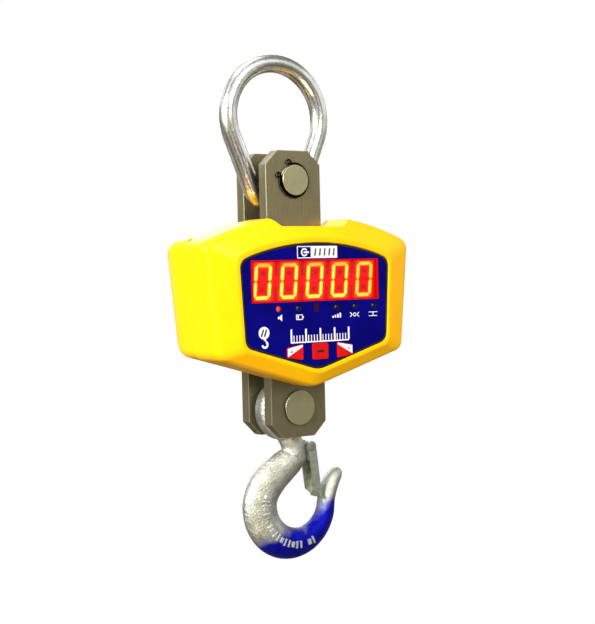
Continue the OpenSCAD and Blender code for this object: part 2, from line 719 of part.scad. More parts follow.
// torsion spring on the latch pin: two turns, one leg down the latch, one against the neck
module latch_spring() color("#8c8c8c") at_lower_pin() translate([latch_at[0], 0, latch_at[1]]) {
    wire = 1;
    coil_r = 3.3;
    for (y = [3.9, 4.9]) translate([0, y, 0]) rotate([90, 0, 0]) rotate_extrude() translate([coil_r, 0])
        circle(d = wire + 0.04, $fn = 16);
    translate([coil_r, 4.9, 0]) rotate([0, 180 - 2, 0]) cylinder(h = 26, d = wire, $fn = 16);
    translate([0, 3.9, coil_r]) rotate([0, -84, 0]) cylinder(h = 4.6, d = wire, $fn = 16);
}

suspension_ring();
upper_pin();
upper_circlip();
upper_front_plate();
upper_rear_plate();
lower_front_plate();
lower_rear_plate();
lower_pin();
lower_circlip();
load_cell();
gauge_covers();
cell_bolts();
cell_cable();
front_casing();
rear_casing();
casing_gasket();
casing_screws();
upper_seal();
lower_seal();
casing_brackets();
bracket_screws();
front_panel();
display_window();
digit_modules();
digit_segments();
display_board();
board_standoffs();
main_board();
indicator_leds();
ir_receiver();
buzzer();
tact_switches();
left_key();
centre_key();
right_key();
battery();
battery_lead();
battery_cover();
battery_cover_screws();
charge_socket();
socket_cap();
switch_frame();
power_rocker();
hook();
latch_pin();
latch_spring();
safety_latch();
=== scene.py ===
import json
import math

import bmesh
import bpy
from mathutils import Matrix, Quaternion, Vector


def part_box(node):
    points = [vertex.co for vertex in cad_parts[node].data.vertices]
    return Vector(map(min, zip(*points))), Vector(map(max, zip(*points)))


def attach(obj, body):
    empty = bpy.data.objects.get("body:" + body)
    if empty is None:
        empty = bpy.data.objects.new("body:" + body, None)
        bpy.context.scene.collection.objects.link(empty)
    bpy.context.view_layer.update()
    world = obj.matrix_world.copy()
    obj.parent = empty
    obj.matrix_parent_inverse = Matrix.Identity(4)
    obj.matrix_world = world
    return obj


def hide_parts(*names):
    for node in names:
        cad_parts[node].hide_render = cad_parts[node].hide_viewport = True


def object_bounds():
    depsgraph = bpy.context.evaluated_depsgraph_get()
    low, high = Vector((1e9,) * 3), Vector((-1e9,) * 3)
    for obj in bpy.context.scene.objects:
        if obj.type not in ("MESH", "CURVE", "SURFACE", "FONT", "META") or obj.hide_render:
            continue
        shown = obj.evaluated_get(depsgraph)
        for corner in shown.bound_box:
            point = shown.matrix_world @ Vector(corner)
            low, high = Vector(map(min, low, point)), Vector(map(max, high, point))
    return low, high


# A hanging crane scale: steel ring, clevis plates, yellow case with a lit display, latched eye hook.
# Metres in the row frame. Local sizes are millimetres about the case's middle or the lower pin.

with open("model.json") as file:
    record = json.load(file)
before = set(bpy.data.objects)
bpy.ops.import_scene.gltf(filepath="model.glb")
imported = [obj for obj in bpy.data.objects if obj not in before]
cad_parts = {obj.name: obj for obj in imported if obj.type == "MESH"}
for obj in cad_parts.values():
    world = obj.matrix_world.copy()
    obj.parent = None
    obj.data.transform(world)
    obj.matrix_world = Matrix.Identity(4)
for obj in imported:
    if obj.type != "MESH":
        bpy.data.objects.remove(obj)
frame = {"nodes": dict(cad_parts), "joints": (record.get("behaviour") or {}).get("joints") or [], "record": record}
cad_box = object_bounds()

MM = 0.001
RECORD = frame["record"]
NODE_SLOT = {part["node"]: part["material_slot"] for part in RECORD["subparts"]}
NODE_BODY = {node: body for body, nodes in RECORD["behaviour"]["bodies"].items() for node in nodes}
PIVOT = {joint["name"]: Vector(joint["pos_m"]) for joint in frame["joints"] if "pos_m" in joint}
UPPER_PIN, LOWER_PIN = PIVOT["ring_swing"], PIVOT["hook_swing"]
CASE = (UPPER_PIN + LOWER_PIN) / 2


def local_box(node, origin=CASE):
    """A node's lowest and highest corners in millimetres about an origin."""
    low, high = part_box(node)
    return (low - origin) / MM, (high - origin) / MM


# case outlines: half width, knee half width, knee z, apex z, crown radius, foot z
CASE_LINE = (105, 95.8, -50.5, 67, 250, -79.2)
CREASE_LINE = (79, 75, -44.5, 47.8, 214, -67)
PANEL_LINE = (75.8, 71.8, -41.6, 43, 210, -63.4)
REAR_LINE = (104, 94.8, -49.5, 55.5, 700, -77)
CORNER_R, TOE_R = 9, 25
LIP_Y, PARTING_Y = local_box("front_casing")[0].y, local_box("front_casing")[1].y
REAR_Y, BACK_Y = local_box("rear_casing")[0].y, local_box("rear_casing")[1].y
PANEL_Y, POCKET_Y = local_box("front_panel")[0].y, local_box("front_panel")[1].y
EDGE_Y = LIP_Y + 9
WALL = 3
FRONT_IN_Y = POCKET_Y + 2.5
NOTCH = ((31.5, 57), (46, 69))
SLOT = (29.5, 24.5)
WINDOW = local_box("display_window")
DIGIT_Z = (WINDOW[0].z + WINDOW[1].z) / 2
DIGIT_PITCH, DIGIT_W, DIGIT_H, BAR_W, DIGIT_SLANT = 25.9, 17, 30, 3.2, 5.5
LAMPS = (-39, -19.5, 19.5, 39, 59)
LAMP_Z, LAMP_D = -11.2, 5
RECEIVER = (-1, 2.6, 3.6)
KEY_TALL, KEY_SHORT = 13.6, 8
KEYS = {"left_key": (-24, KEY_SHORT, KEY_TALL), "centre_key": (1.5, KEY_TALL, KEY_TALL),
        "right_key": (27, KEY_TALL, KEY_SHORT)}
KEY_Z, KEY_W = -47.9, 16
SCREWS = ((78, 34), (72, -37), (43, -43))
RING_BAR_R, RING_EYE_R = 8, 19.7
LATCH_X, LATCH_Z, LATCH_BORE = 23.3, -37.4, 5
PIN_DROP = (LOWER_PIN.z - CASE.z) / MM
MARK_ANGLES = (160, 167, 174, 181, 188, 207, 214, 221, 228, 235, 242, 249, 256, 263, 270, 285, 292)


# ---------------------------------------------------------------- drawing

def case_point(x, y, z):
    return CASE + Vector((x, y, z)) * MM


def fillet(before, corner, after, radius, steps=7):
    """The arc that rounds a corner between its two neighbours."""
    p = Vector(corner)
    u, v = (Vector(before) - p).normalized(), (Vector(after) - p).normalized()
    half = u.angle(v) / 2
    centre = p + (u + v).normalized() * radius / math.sin(half)
    start, end = p + u * radius / math.tan(half) - centre, p + v * radius / math.tan(half) - centre
    turn = start.angle_signed(end)
    first = math.atan2(start.y, start.x)
    angles = [first - turn * i / steps for i in range(steps + 1)]
    return [centre + Vector((math.cos(a), math.sin(a))) * radius for a in angles]


def shield(line, inset=0.0):
    """Closed outline with a crowned top, leaning sides and a shallow pointed foot."""
    half_w, knee_x, knee_z, apex, crown, foot = line
    half_w, knee_x, apex, crown = half_w - inset, knee_x - inset * 0.95, apex - inset, crown - inset
    knee, foot = (knee_x, knee_z + inset * 0.85), (0, foot + inset)

    def on_crown(x):
        return (x, apex - crown + math.sqrt(crown * crown - x * x))

    shoulder = on_crown(half_w)
    corner = fillet(on_crown((half_w - CORNER_R) * 0.83), shoulder, knee, CORNER_R)
    bend = fillet(shoulder, knee, foot, CORNER_R)
    toe = fillet(knee, foot, (-knee_x, knee[1]), TOE_R, 10)[:6]
    top = [on_crown(corner[0].x * i / 16) for i in range(16)]
    half = [tuple(p) for p in (*top, *corner, *bend, *toe)]
    return half + [(-x, z) for x, z in reversed(half[1:-1])]


def at_depth(outline, y):
    return [case_point(x, y, z) for x, z in outline]


def between(loop_a, loop_b, share):
    return [a.lerp(b, share) for a, b in zip(loop_a, loop_b)]


def round_over(before, corner, after, steps=6):
    """Outlines that turn smoothly from one to another past a corner outline."""
    turns = []
    for i in range(steps + 1):
        t = i / steps
        turns.append(between(between(before, corner, t), between(corner, after, t), t))
    return turns


# ---------------------------------------------------------------- modelling

def deselect():
    """Object mode with nothing selected, so that an operator acts on one piece alone."""
    if bpy.context.object and bpy.context.object.mode == "EDIT":
        bpy.ops.object.mode_set(mode="OBJECT")
    bpy.ops.object.select_all(action="DESELECT")


def pick(*pieces):
    deselect()
    for piece in pieces:
        piece.select_set(True)
    bpy.context.view_layer.objects.active = pieces[0]


def open_mesh(piece):
    pick(piece)
    bpy.ops.object.mode_set(mode="EDIT")
    bpy.ops.mesh.select_all(action="SELECT")


def close_mesh():
    bpy.ops.object.mode_set(mode="OBJECT")
    return bpy.context.object


def settle(name):
    """Names the new piece and puts its place into its mesh."""
    bpy.ops.object.transform_apply(location=True, rotation=True, scale=True)
    piece = bpy.context.object
    piece.name = piece.data.name = name
    return piece


def loft(name, loops, closed=False):
    """A skin through outlines of equal point count, each extruded from the one before."""
    deselect()
    bpy.ops.mesh.primitive_circle_add(vertices=len(loops[0]), radius=MM)
    piece = settle(name)
    places = [v.co.copy() for v in piece.data.vertices]
    open_mesh(piece)
    for number, outline in enumerate([*loops, loops[0]] if closed else loops):
        if number:
            bpy.ops.mesh.extrude_edges_indiv()
        index = {tuple(round(c, 7) for c in place): i for i, place in enumerate(places)}
        mesh = bmesh.from_edit_mesh(piece.data)
        for vert in mesh.verts:
            if vert.select:
                vert.co = outline[index[tuple(round(c, 7) for c in vert.co)]]
        bmesh.update_edit_mesh(piece.data)
        places = [Vector(place) for place in outline]
    bpy.ops.mesh.select_all(action="SELECT")
    if closed:
        bpy.ops.mesh.remove_doubles(threshold=1e-7)
    else:
        bpy.ops.mesh.fill_holes(sides=0)
    bpy.ops.mesh.select_all(action="SELECT")
    bpy.ops.mesh.normals_make_consistent(inside=False)
    return close_mesh()


def prism(name, outline, y0, y1):
    """An outline in the case's front plane, given depth."""
    return loft(name, [at_depth(outline, y0), at_depth(outline, y1)])


def slab(name, x, y, z):
    """A block between pairs of limits about the case's middle."""
    deselect()
    low, high = case_point(x[0], y[0], z[0]), case_point(x[1], y[1], z[1])
    bpy.ops.mesh.primitive_cube_add(size=1, location=(low + high) / 2, scale=high - low)
    return settle(name)


def peg(name, x, z, y0, y1, diameter):
    """A round bar along Y."""
    deselect()
    bpy.ops.mesh.primitive_cylinder_add(
        vertices=48, radius=diameter / 2 * MM, depth=(y1 - y0) * MM,
        location=case_point(x, (y0 + y1) / 2, z), rotation=(math.pi / 2, 0, 0))
    return settle(name)


def join(name, pieces):
    pick(*pieces)
    if len(pieces) > 1:
        bpy.ops.object.join()
    return settle(name)


def modify(piece, kind, **settings):
    pick(piece)
    modifier = piece.modifiers.new(kind.lower(), kind)
    for key, value in settings.items():
        setattr(modifier, key, value)
    bpy.ops.object.modifier_apply(modifier=modifier.name)
    return piece


def cut(piece, *cutters):
    """Takes the cutters out of the piece and throws them away."""
    for cutter in cutters:
        modify(piece, "BOOLEAN", operation="DIFFERENCE", solver="EXACT", object=cutter)
        bpy.data.objects.remove(cutter)
    return piece


def ease(piece, radius, segments=2):
    """Rounds the sharp edges and smooths the shading between them."""
    modify(piece, "BEVEL", width=radius * MM, segments=segments, limit_method="ANGLE",
           angle_limit=math.radians(30))
    return smooth_shading(piece, 40)


def smooth_shading(piece, angle):
    """Smooth between faces that meet within an angle, the broad faces keeping their own normal."""
    pick(piece)
    bpy.ops.object.shade_smooth_by_angle(angle=math.radians(angle))
    return modify(piece, "WEIGHTED_NORMAL", keep_sharp=True, weight=80)


def from_cad(node, name, radius, segments=2):
    """A copy of a CAD node with its triangles joined into whole faces and its edges eased."""
    piece = bpy.data.objects.new(name, frame["nodes"][node].data.copy())
    bpy.context.scene.collection.objects.link(piece)
    piece.data.name = name
    piece.data.materials.clear()
    open_mesh(piece)
    bpy.ops.mesh.customdata_custom_splitnormals_clear()
    bpy.ops.mesh.remove_doubles(threshold=2e-6)
    bpy.ops.mesh.dissolve_limited(angle_limit=math.radians(0.8))
    bpy.ops.mesh.normals_make_consistent(inside=False)
    close_mesh()
    return ease(piece, radius, segments)


# ---------------------------------------------------------------- finishes

def rgb(red, green, blue):
    """A display colour as the shader takes it."""
    return (*((c / 255 / 12.92) if c < 10.3 else ((c / 255 + 0.055) / 1.055) ** 2.4
              for c in (red, green, blue)), 1.0)


class Finish:
    """A material in the making: its shader and the nodes that feed it."""

    def __init__(self, name, colour, roughness=0.5, **constants):
        self.material = bpy.data.materials.new(name)
        self.material.use_nodes = True
        self.tree = self.material.node_tree
        self.shader = self.tree.nodes["Principled BSDF"]
        self.place = self.tree.nodes.new("ShaderNodeTexCoord").outputs["Object"]
        self.set("Base Color", colour)
        self.set("Roughness", roughness)
        for socket, value in constants.items():
            self.set(socket.replace("_", " "), value)

    def feed(self, socket, value):
        if isinstance(value, bpy.types.NodeSocket):
            self.tree.links.new(value, socket)
        else:
            socket.default_value = value

    def set(self, socket, value):
        self.feed(self.shader.inputs[socket], value)

    def node(self, kind, inputs=(), **settings):
        made = self.tree.nodes.new("ShaderNode" + kind)
        for key, value in settings.items():
            setattr(made, key, value)
        for socket, value in dict(inputs).items():
            self.feed(made.inputs[socket], value)
        return made

    def math(self, operation, *values):
        return self.node("Math", enumerate(values), operation=operation).outputs[0]

    def about(self, origin, stretch=(1, 1, 1)):
        """Coordinates in millimetres about an origin, stretched along each axis."""
        moved = self.node("VectorMath", {0: self.place, 1: tuple(origin)}, operation="SUBTRACT")
        scale = tuple(s / MM for s in stretch)
        return self.node("VectorMath", {0: moved.outputs[0], 1: scale}, operation="MULTIPLY").outputs[0]

    def axes(self, origin):
        split = self.node("SeparateXYZ", {0: self.about(origin)})
        return split.outputs["X"], split.outputs["Y"], split.outputs["Z"]

    def noise(self, size, detail=3.0, stretch=(1, 1, 1), sharp=0.5):
        """Cloudy pattern whose lumps are about the given size in millimetres."""
        made = self.node("TexNoise", {"Vector": self.about((0, 0, 0), stretch), "Scale": 1 / size,
                                      "Detail": detail, "Roughness": sharp})
        return made.outputs["Fac"]

    def fit(self, source, low, high, to_low=0.0, to_high=1.0):
        made = self.node("MapRange", {"Value": source, "From Min": low, "From Max": high,
                                      "To Min": to_low, "To Max": to_high}, interpolation_type="SMOOTHSTEP")
        return made.outputs["Result"]

    def mix(self, share, colour_a, colour_b):
        made = self.node("Mix", data_type="RGBA")
        self.feed(made.inputs["Factor"], share)
        self.feed(made.inputs[6], colour_a)
        self.feed(made.inputs[7], colour_b)
        return made.outputs[2]

    def edges(self, radius):
        """About 1 along edges and 0 on flat ground; it marks worn edges, and in brushed steel a painted edge
        highlight.
        """
        worn = self.node("Bevel", {"Radius": radius * MM}, samples=4).outputs["Normal"]
        plain = self.node("NewGeometry").outputs["Normal"]
        facing = self.node("VectorMath", {0: worn, 1: plain}, operation="DOT_PRODUCT").outputs["Value"]
        return self.fit(facing, 0.995, 0.86)

    def bump(self, *layers):
        """Layers of (height pattern, depth in millimetres)."""
        normal = None
        for height, depth in layers:
            made = self.node("Bump", {"Height": height, "Distance": depth * MM, "Strength": 1.0})
            if normal:
                self.feed(made.inputs["Normal"], normal)
            normal = made.outputs["Normal"]
        self.set("Normal", normal)


def ring_zinc():
    """Bright zinc plate on a forged bar."""
    made = Finish("ring_zinc", rgb(226, 228, 222), Metallic=1.0)
    clouds = made.noise(16, detail=4)
    fine = made.noise(1.6, detail=5, sharp=0.6)
    tint = made.mix(made.fit(clouds, 0.35, 0.68), rgb(232, 234, 230), rgb(206, 208, 192))
    spots = made.fit(made.noise(4.5, detail=6, sharp=0.7), 0.63, 0.74)
    made.set("Base Color", made.mix(made.math("MULTIPLY", spots, 0.35), tint, rgb(140, 142, 132)))
    made.set("Roughness", made.math("ADD", made.fit(fine, 0.3, 0.7, 0.0, 0.08),
                                    made.fit(clouds, 0.3, 0.7, 0.15, 0.24)))
    made.bump((clouds, 0.5), (fine, 0.025))
    return made.material


def hook_zinc():
    """Grainy zinc over a forging, its bowl blue towards the bottom, the blue fading out up both arms."""
    made = Finish("hook_zinc", rgb(196, 200, 190), Metallic=1.0, Specular_IOR_Level=0.15)
    x, _, z = made.axes(LOWER_PIN)
    clouds = made.noise(11, detail=4)
    grain = made.noise(0.9, detail=6, sharp=0.65)
    pits = made.noise(2.2, detail=5, sharp=0.6)
    left = made.math("MULTIPLY", made.math("MAXIMUM", made.math("SUBTRACT", -6, x), 0), 0.28)
    right = made.math("MULTIPLY", made.math("MAXIMUM", made.math("SUBTRACT", x, 14), 0), 0.8)
    line = made.math("SUBTRACT", right, left)
    depth = made.math("SUBTRACT", z, made.math("ADD", line, made.fit(clouds, 0.2, 0.8, -3, 3)))
    blue_towards_bottom = made.fit(depth, -101, -115)
    zinc = made.mix(made.fit(clouds, 0.3, 0.7), rgb(208, 212, 202), rgb(176, 180, 166))
    zinc = made.mix(made.fit(pits, 0.54, 0.7, 0.0, 0.5), zinc, rgb(112, 116, 108))
    worn = made.math("MULTIPLY", made.edges(0.9), made.fit(grain, 0.35, 0.6))
    zinc = made.mix(made.math("MULTIPLY", worn, 0.5), zinc, rgb(240, 240, 236))
    blue = made.mix(made.fit(clouds, 0.3, 0.7), rgb(0, 3, 132), rgb(2, 14, 168))
    made.set("Base Color", made.mix(blue_towards_bottom, zinc, blue))
    made.set("Metallic", made.fit(blue_towards_bottom, 0, 1, 1.0, 0.6))
    made.set("Roughness", made.math("ADD", made.fit(grain, 0.25, 0.75, 0.3, 0.5),
                                    made.math("MULTIPLY", blue_towards_bottom, -0.05)))
    made.bump((pits, 0.8), (grain, 0.4))
    return made.material


def raised_zinc():
    """Proud marks on top of the forging, lighter than it: rubbed wear with a painted highlight."""
    made = Finish("raised_zinc", rgb(232, 234, 228), Metallic=0.7)
    fine = made.noise(0.7, detail=5)
    made.set("Base Color", made.mix(made.fit(fine, 0.35, 0.7), rgb(238, 240, 236), rgb(186, 190, 184)))
    made.set("Roughness", made.fit(fine, 0.3, 0.7, 0.25, 0.42))
    made.bump((fine, 0.05))
    return made.material


def brushed(name, colour, bright, along=(1, 1, 0.03), size=0.35, roughness=0.34):
    """Ground steel with its brush marks along one axis, handling stains and a painted highlight along its edges.
    """
    made = Finish(name, colour, Metallic=0.8, Anisotropic=0.5, Specular_IOR_Level=0.25)
    marks = made.noise(size, detail=5, stretch=along, sharp=0.6)
    stain = made.noise(14, detail=5, sharp=0.6)
    shade = tuple(c * 0.7 for c in colour[:3]) + (1.0,)
    body = made.mix(made.fit(stain, 0.35, 0.7, 0.0, 0.6), colour, shade)
    body = made.mix(made.fit(marks, 0.35, 0.7, 0.0, 0.22), body, bright)
    # painted highlight: the edges are lightened towards the bright colour
    made.set("Base Color", made.mix(made.math("MULTIPLY", made.edges(1.0), 0.75), body, bright))
    made.set("Roughness", made.math("ADD", made.fit(marks, 0.3, 0.7, -0.05, 0.07),
                                    made.fit(stain, 0.3, 0.7, roughness, roughness + 0.1)))
    made.bump((marks, 0.02))
    return made.material


def plate_steel():
    return brushed("plate_steel", rgb(122, 116, 84), rgb(196, 192, 166), along=(1, 1, 0.012), size=0.22)


def pin_steel():
    """Turned pin ends, with faint lathe rings about their own axes and painted shade on their sides."""
    made = Finish("pin_steel", rgb(196, 190, 148), Metallic=1.0)
    rings = []
    for centre in (UPPER_PIN, LOWER_PIN):
        x, _, z = made.axes(centre)
        radius = made.math("SQRT", made.math("ADD", made.math("POWER", x, 2), made.math("POWER", z, 2)))
        rings.append((made.math("SINE", made.math("MULTIPLY", radius, 9.0)), radius))
    near_top = made.math("LESS_THAN", rings[0][1], 40)
    turned = made.math("ADD", made.math("MULTIPLY", rings[0][0], near_top),
                       made.math("MULTIPLY", rings[1][0], made.math("SUBTRACT", 1, near_top)))
    stain = made.noise(7, detail=5)
    body = made.mix(made.fit(stain, 0.35, 0.7), rgb(190, 186, 146), rgb(178, 173, 132))
    body = made.mix(made.math("MULTIPLY", made.edges(0.8), 0.7), body, rgb(232, 230, 205))
    # painted shade: faces turned sideways, the pins' cylindrical sides, are painted near black
    facing = made.node("SeparateXYZ", {0: made.node("NewGeometry").outputs["Normal"]}).outputs["Y"]
    side = made.fit(made.math("ABSOLUTE", facing), 0.5, 0.3)
    made.set("Base Color", made.mix(side, body, rgb(22, 20, 16)))
    made.set("Roughness", made.fit(stain, 0.3, 0.7, 0.36, 0.42))
    made.bump((turned, 0.008), (made.noise(0.5, detail=4), 0.01))
    return made.material


def plated(name, colour, dark, roughness=0.3, size=6):
    """Small plated hardware: cloudy tone, fine pits, polished edges."""
    made = Finish(name, colour, Metallic=1.0)
    clouds, fine = made.noise(size, detail=5), made.noise(0.5, detail=4)
    body = made.mix(made.fit(clouds, 0.35, 0.7), colour, dark)
    made.set("Base Color", made.mix(made.math("MULTIPLY", made.edges(0.4), 0.6), body, rgb(236, 236, 232)))
    made.set("Roughness", made.math("ADD", made.fit(clouds, 0.3, 0.7, 0.0, 0.12),
                                    made.fit(fine, 0.3, 0.7, roughness - 0.05, roughness + 0.05)))
    made.bump((fine, 0.02))
    return made.material


def moulded(name, colour, tone, roughness=0.4, grain=0.6, depth=0.02, **constants):
    """Moulded plastic or rubber: fine grain, slow change of tone, rubbed edges."""
    made = Finish(name, colour, **constants)
    clouds, fine = made.noise(25, detail=4), made.noise(grain, detail=3)
    body = made.mix(made.fit(clouds, 0.35, 0.7), colour, tone)
    rubbed = tuple(min(1.0, c * 1.25 + 0.015) for c in colour[:3]) + (1.0,)
    made.set("Base Color", made.mix(made.math("MULTIPLY", made.edges(0.6), 0.5), body, rubbed))
    made.set("Roughness", made.math("ADD", made.fit(clouds, 0.3, 0.7, 0.0, 0.08),
                                    made.fit(fine, 0.3, 0.7, roughness - 0.06, roughness + 0.04)))
    made.bump((fine, depth))
    return made.material


def case_yellow():
    """Glossy yellow enamel with a slight orange peel, dark specks of dust and rubbed edges."""
    made = Finish("case_yellow", rgb(255, 192, 0), Coat_Weight=0.04, Coat_Roughness=0.2,
                  Specular_IOR_Level=0.16)
    peel, clouds = made.noise(2.4, detail=2), made.noise(38, detail=3)
    specks = made.fit(made.noise(1.1, detail=7, sharp=0.75), 0.7, 0.78)
    body = made.mix(made.fit(clouds, 0.35, 0.7), rgb(255, 194, 0), rgb(253, 187, 0))
    body = made.mix(made.math("MULTIPLY", specks, 0.18), body, rgb(176, 120, 8))
    made.set("Base Color", made.mix(made.math("MULTIPLY", made.edges(1.2), 0.3), body, rgb(255, 208, 20)))
    made.set("Roughness", made.math("ADD", made.fit(clouds, 0.3, 0.7, 0.3, 0.38),
                                    made.fit(peel, 0.3, 0.7, -0.03, 0.05)))
    made.bump((peel, 0.045), (made.noise(0.45, detail=3), 0.008))
    return made.material


def panel_blue():
    """Printed polyester film with a fine embossed grain."""
    made = Finish("panel_blue", rgb(0, 0, 104), Specular_IOR_Level=0.05)
    grain, clouds = made.noise(0.35, detail=2), made.noise(22, detail=4)
    made.set("Base Color", made.mix(made.fit(clouds, 0.35, 0.7), rgb(0, 0, 98), rgb(2, 1, 114)))
    made.set("Roughness", made.math("ADD", made.fit(grain, 0.3, 0.7, 0.42, 0.52),
                                    made.fit(clouds, 0.3, 0.7, 0.0, 0.08)))
    made.bump((grain, 0.012))
    return made.material


def ink(name, colour):
    """Screen-printed ink, a little uneven."""
    made = Finish(name, colour, Coat_Weight=0.1)
    fine = made.noise(0.5, detail=4)
    thin = tuple(c * 0.86 for c in colour[:3]) + (1.0,)
    made.set("Base Color", made.mix(made.fit(fine, 0.5, 0.75), colour, thin))
    made.set("Roughness", made.fit(fine, 0.3, 0.7, 0.34, 0.5))
    made.bump((fine, 0.006))
    return made.material


def off_outline(made):
    """Distance in millimetres from the outline of the nearest lit nought."""
    x, _, z = made.axes(case_point(0, 0, DIGIT_Z))
    upright = made.math("SUBTRACT", x, made.math("MULTIPLY", z, math.tan(math.radians(DIGIT_SLANT))))
    within = made.math("WRAP", upright, -DIGIT_PITCH / 2, DIGIT_PITCH / 2)
    across = made.math("SUBTRACT", made.math("ABSOLUTE", within), (DIGIT_W - BAR_W) / 2)
    up = made.math("SUBTRACT", made.math("ABSOLUTE", z), (DIGIT_H - BAR_W) / 2)
    outside = made.math("SQRT", made.math("ADD", made.math("POWER", made.math("MAXIMUM", across, 0), 2),
                                          made.math("POWER", made.math("MAXIMUM", up, 0), 2)))
    inside = made.math("MINIMUM", made.math("MAXIMUM", across, up), 0)
    return made.math("ABSOLUTE", made.math("ADD", outside, inside))


def digit_body():
    """Red face of the digit modules with a painted glow, as if lit by the bars beside it: orange next to them,
    deeper red further off.
    """
    made = Finish("digit_body", rgb(120, 4, 4), 0.45, Emission_Strength=1.0)
    away = off_outline(made)
    near = made.mix(made.fit(away, 1.4, 3.2), rgb(255, 96, 8), rgb(250, 6, 2))
    above = made.math("ABSOLUTE", made.axes(case_point(0, 0, DIGIT_Z))[2])
    inner = made.math("MINIMUM", away, above)
    glow = made.mix(made.fit(inner, 3.4, 6.2), near, rgb(172, 0, 6))
    mottle = made.fit(made.noise(3, detail=3), 0.3, 0.7, 0.88, 1.08)
    # painted glow: the whole module face emits light of its own
    made.set("Emission Color", glow)
    made.set("Emission Strength", mottle)
    return made.material


def lit_bar():
    """Lit bar: yellow at its heart, orange at its rim."""
    made = Finish("lit_bar", rgb(255, 190, 40), 0.4, Emission_Strength=1.0)
    away = made.math("ADD", off_outline(made), made.fit(made.noise(2.5, detail=2), 0.3, 0.7, -0.15, 0.15))
    made.set("Emission Color", made.mix(made.fit(away, 0.7, 1.6), rgb(255, 236, 96), rgb(255, 168, 20)))
    return made.material


def unlit_bar_painted_glow():
    made = Finish("unlit_bar_painted_glow", rgb(120, 4, 4), 0.4, Emission_Strength=0.95)
    clouds = made.noise(2, detail=3)
    # painted glow: these unlit bars emit red light of their own
    made.set("Emission Color", made.mix(clouds, rgb(236, 22, 30), rgb(222, 8, 14)))
    return made.material


def red_lens():
    """Clear red acrylic: the bars show through it, and its rim carries a painted red glow."""
    made = Finish("red_lens", rgb(190, 4, 2), Specular_IOR_Level=0.12)
    smear = made.noise(12, detail=4)
    made.set("Roughness", made.fit(smear, 0.3, 0.7, 0.16, 0.3))
    x, _, z = made.axes(case_point(0, 0, DIGIT_Z))
    rim_x = made.fit(made.math("ABSOLUTE", x), WINDOW[1].x - 2.6, WINDOW[1].x - 1.4)
    rim_z = made.fit(made.math("ABSOLUTE", z), (WINDOW[1].z - WINDOW[0].z) / 2 - 1.2,
                     (WINDOW[1].z - WINDOW[0].z) / 2 - 0.3)
    rim = made.math("MAXIMUM", rim_x, rim_z)
    made.set("Alpha", made.fit(rim, 0, 1, 0.12, 1.0))
    body = made.mix(made.fit(smear, 0.3, 0.7), rgb(190, 4, 2), rgb(160, 2, 2))
    made.set("Base Color", made.mix(rim, body, rgb(120, 0, 4)))
    # painted glow: the lens rim emits red light of its own
    made.set("Emission Color", made.mix(smear, rgb(226, 10, 4), rgb(206, 2, 2)))
    made.set("Emission Strength", made.fit(rim, 0, 1, 0.0, 0.75))
    made.bump((smear, 0.01))
    return made.material


def lamp_lens(name, glow, strength):
    made = Finish(name, rgb(120, 10, 10) if strength else rgb(34, 4, 8), 0.15, Coat_Weight=0.5,
                  Emission_Strength=strength)
    fine = made.noise(1.2, detail=3)
    made.set("Roughness", made.fit(fine, 0.3, 0.7, 0.1, 0.22))
    made.set("Emission Color", made.mix(made.fit(fine, 0.3, 0.7), glow, rgb(255, 40, 30)))
    made.bump((fine, 0.01))
    return made.material


def receiver_red():
    """Dark red filter over the infrared receiver."""
    made = Finish("receiver_red", rgb(60, 0, 4), Specular_IOR_Level=0.2)
    fine = made.noise(1.4, detail=3)
    made.set("Base Color", made.mix(made.fit(fine, 0.3, 0.7), rgb(70, 0, 4), rgb(38, 0, 6)))
    made.set("Roughness", made.fit(fine, 0.3, 0.7, 0.2, 0.34))
    made.bump((fine, 0.01))
    return made.material


def solder_mask():
    """Circuit board: green lacquer over a grid of tracks."""
    made = Finish("board_green", rgb(16, 78, 38), Coat_Weight=0.4)
    cells = made.node("TexVoronoi", {"Vector": made.about((0, 0, 0)), "Scale": 0.3},
                      feature="DISTANCE_TO_EDGE").outputs["Distance"]
    tracks = made.fit(cells, 0.02, 0.08)
    fine = made.noise(0.6)
    made.set("Base Color", made.mix(tracks, rgb(46, 128, 66), rgb(14, 72, 34)))
    made.set("Roughness", made.fit(fine, 0.3, 0.7, 0.3, 0.42))
    made.bump((tracks, 0.03), (fine, 0.01))
    return made.material


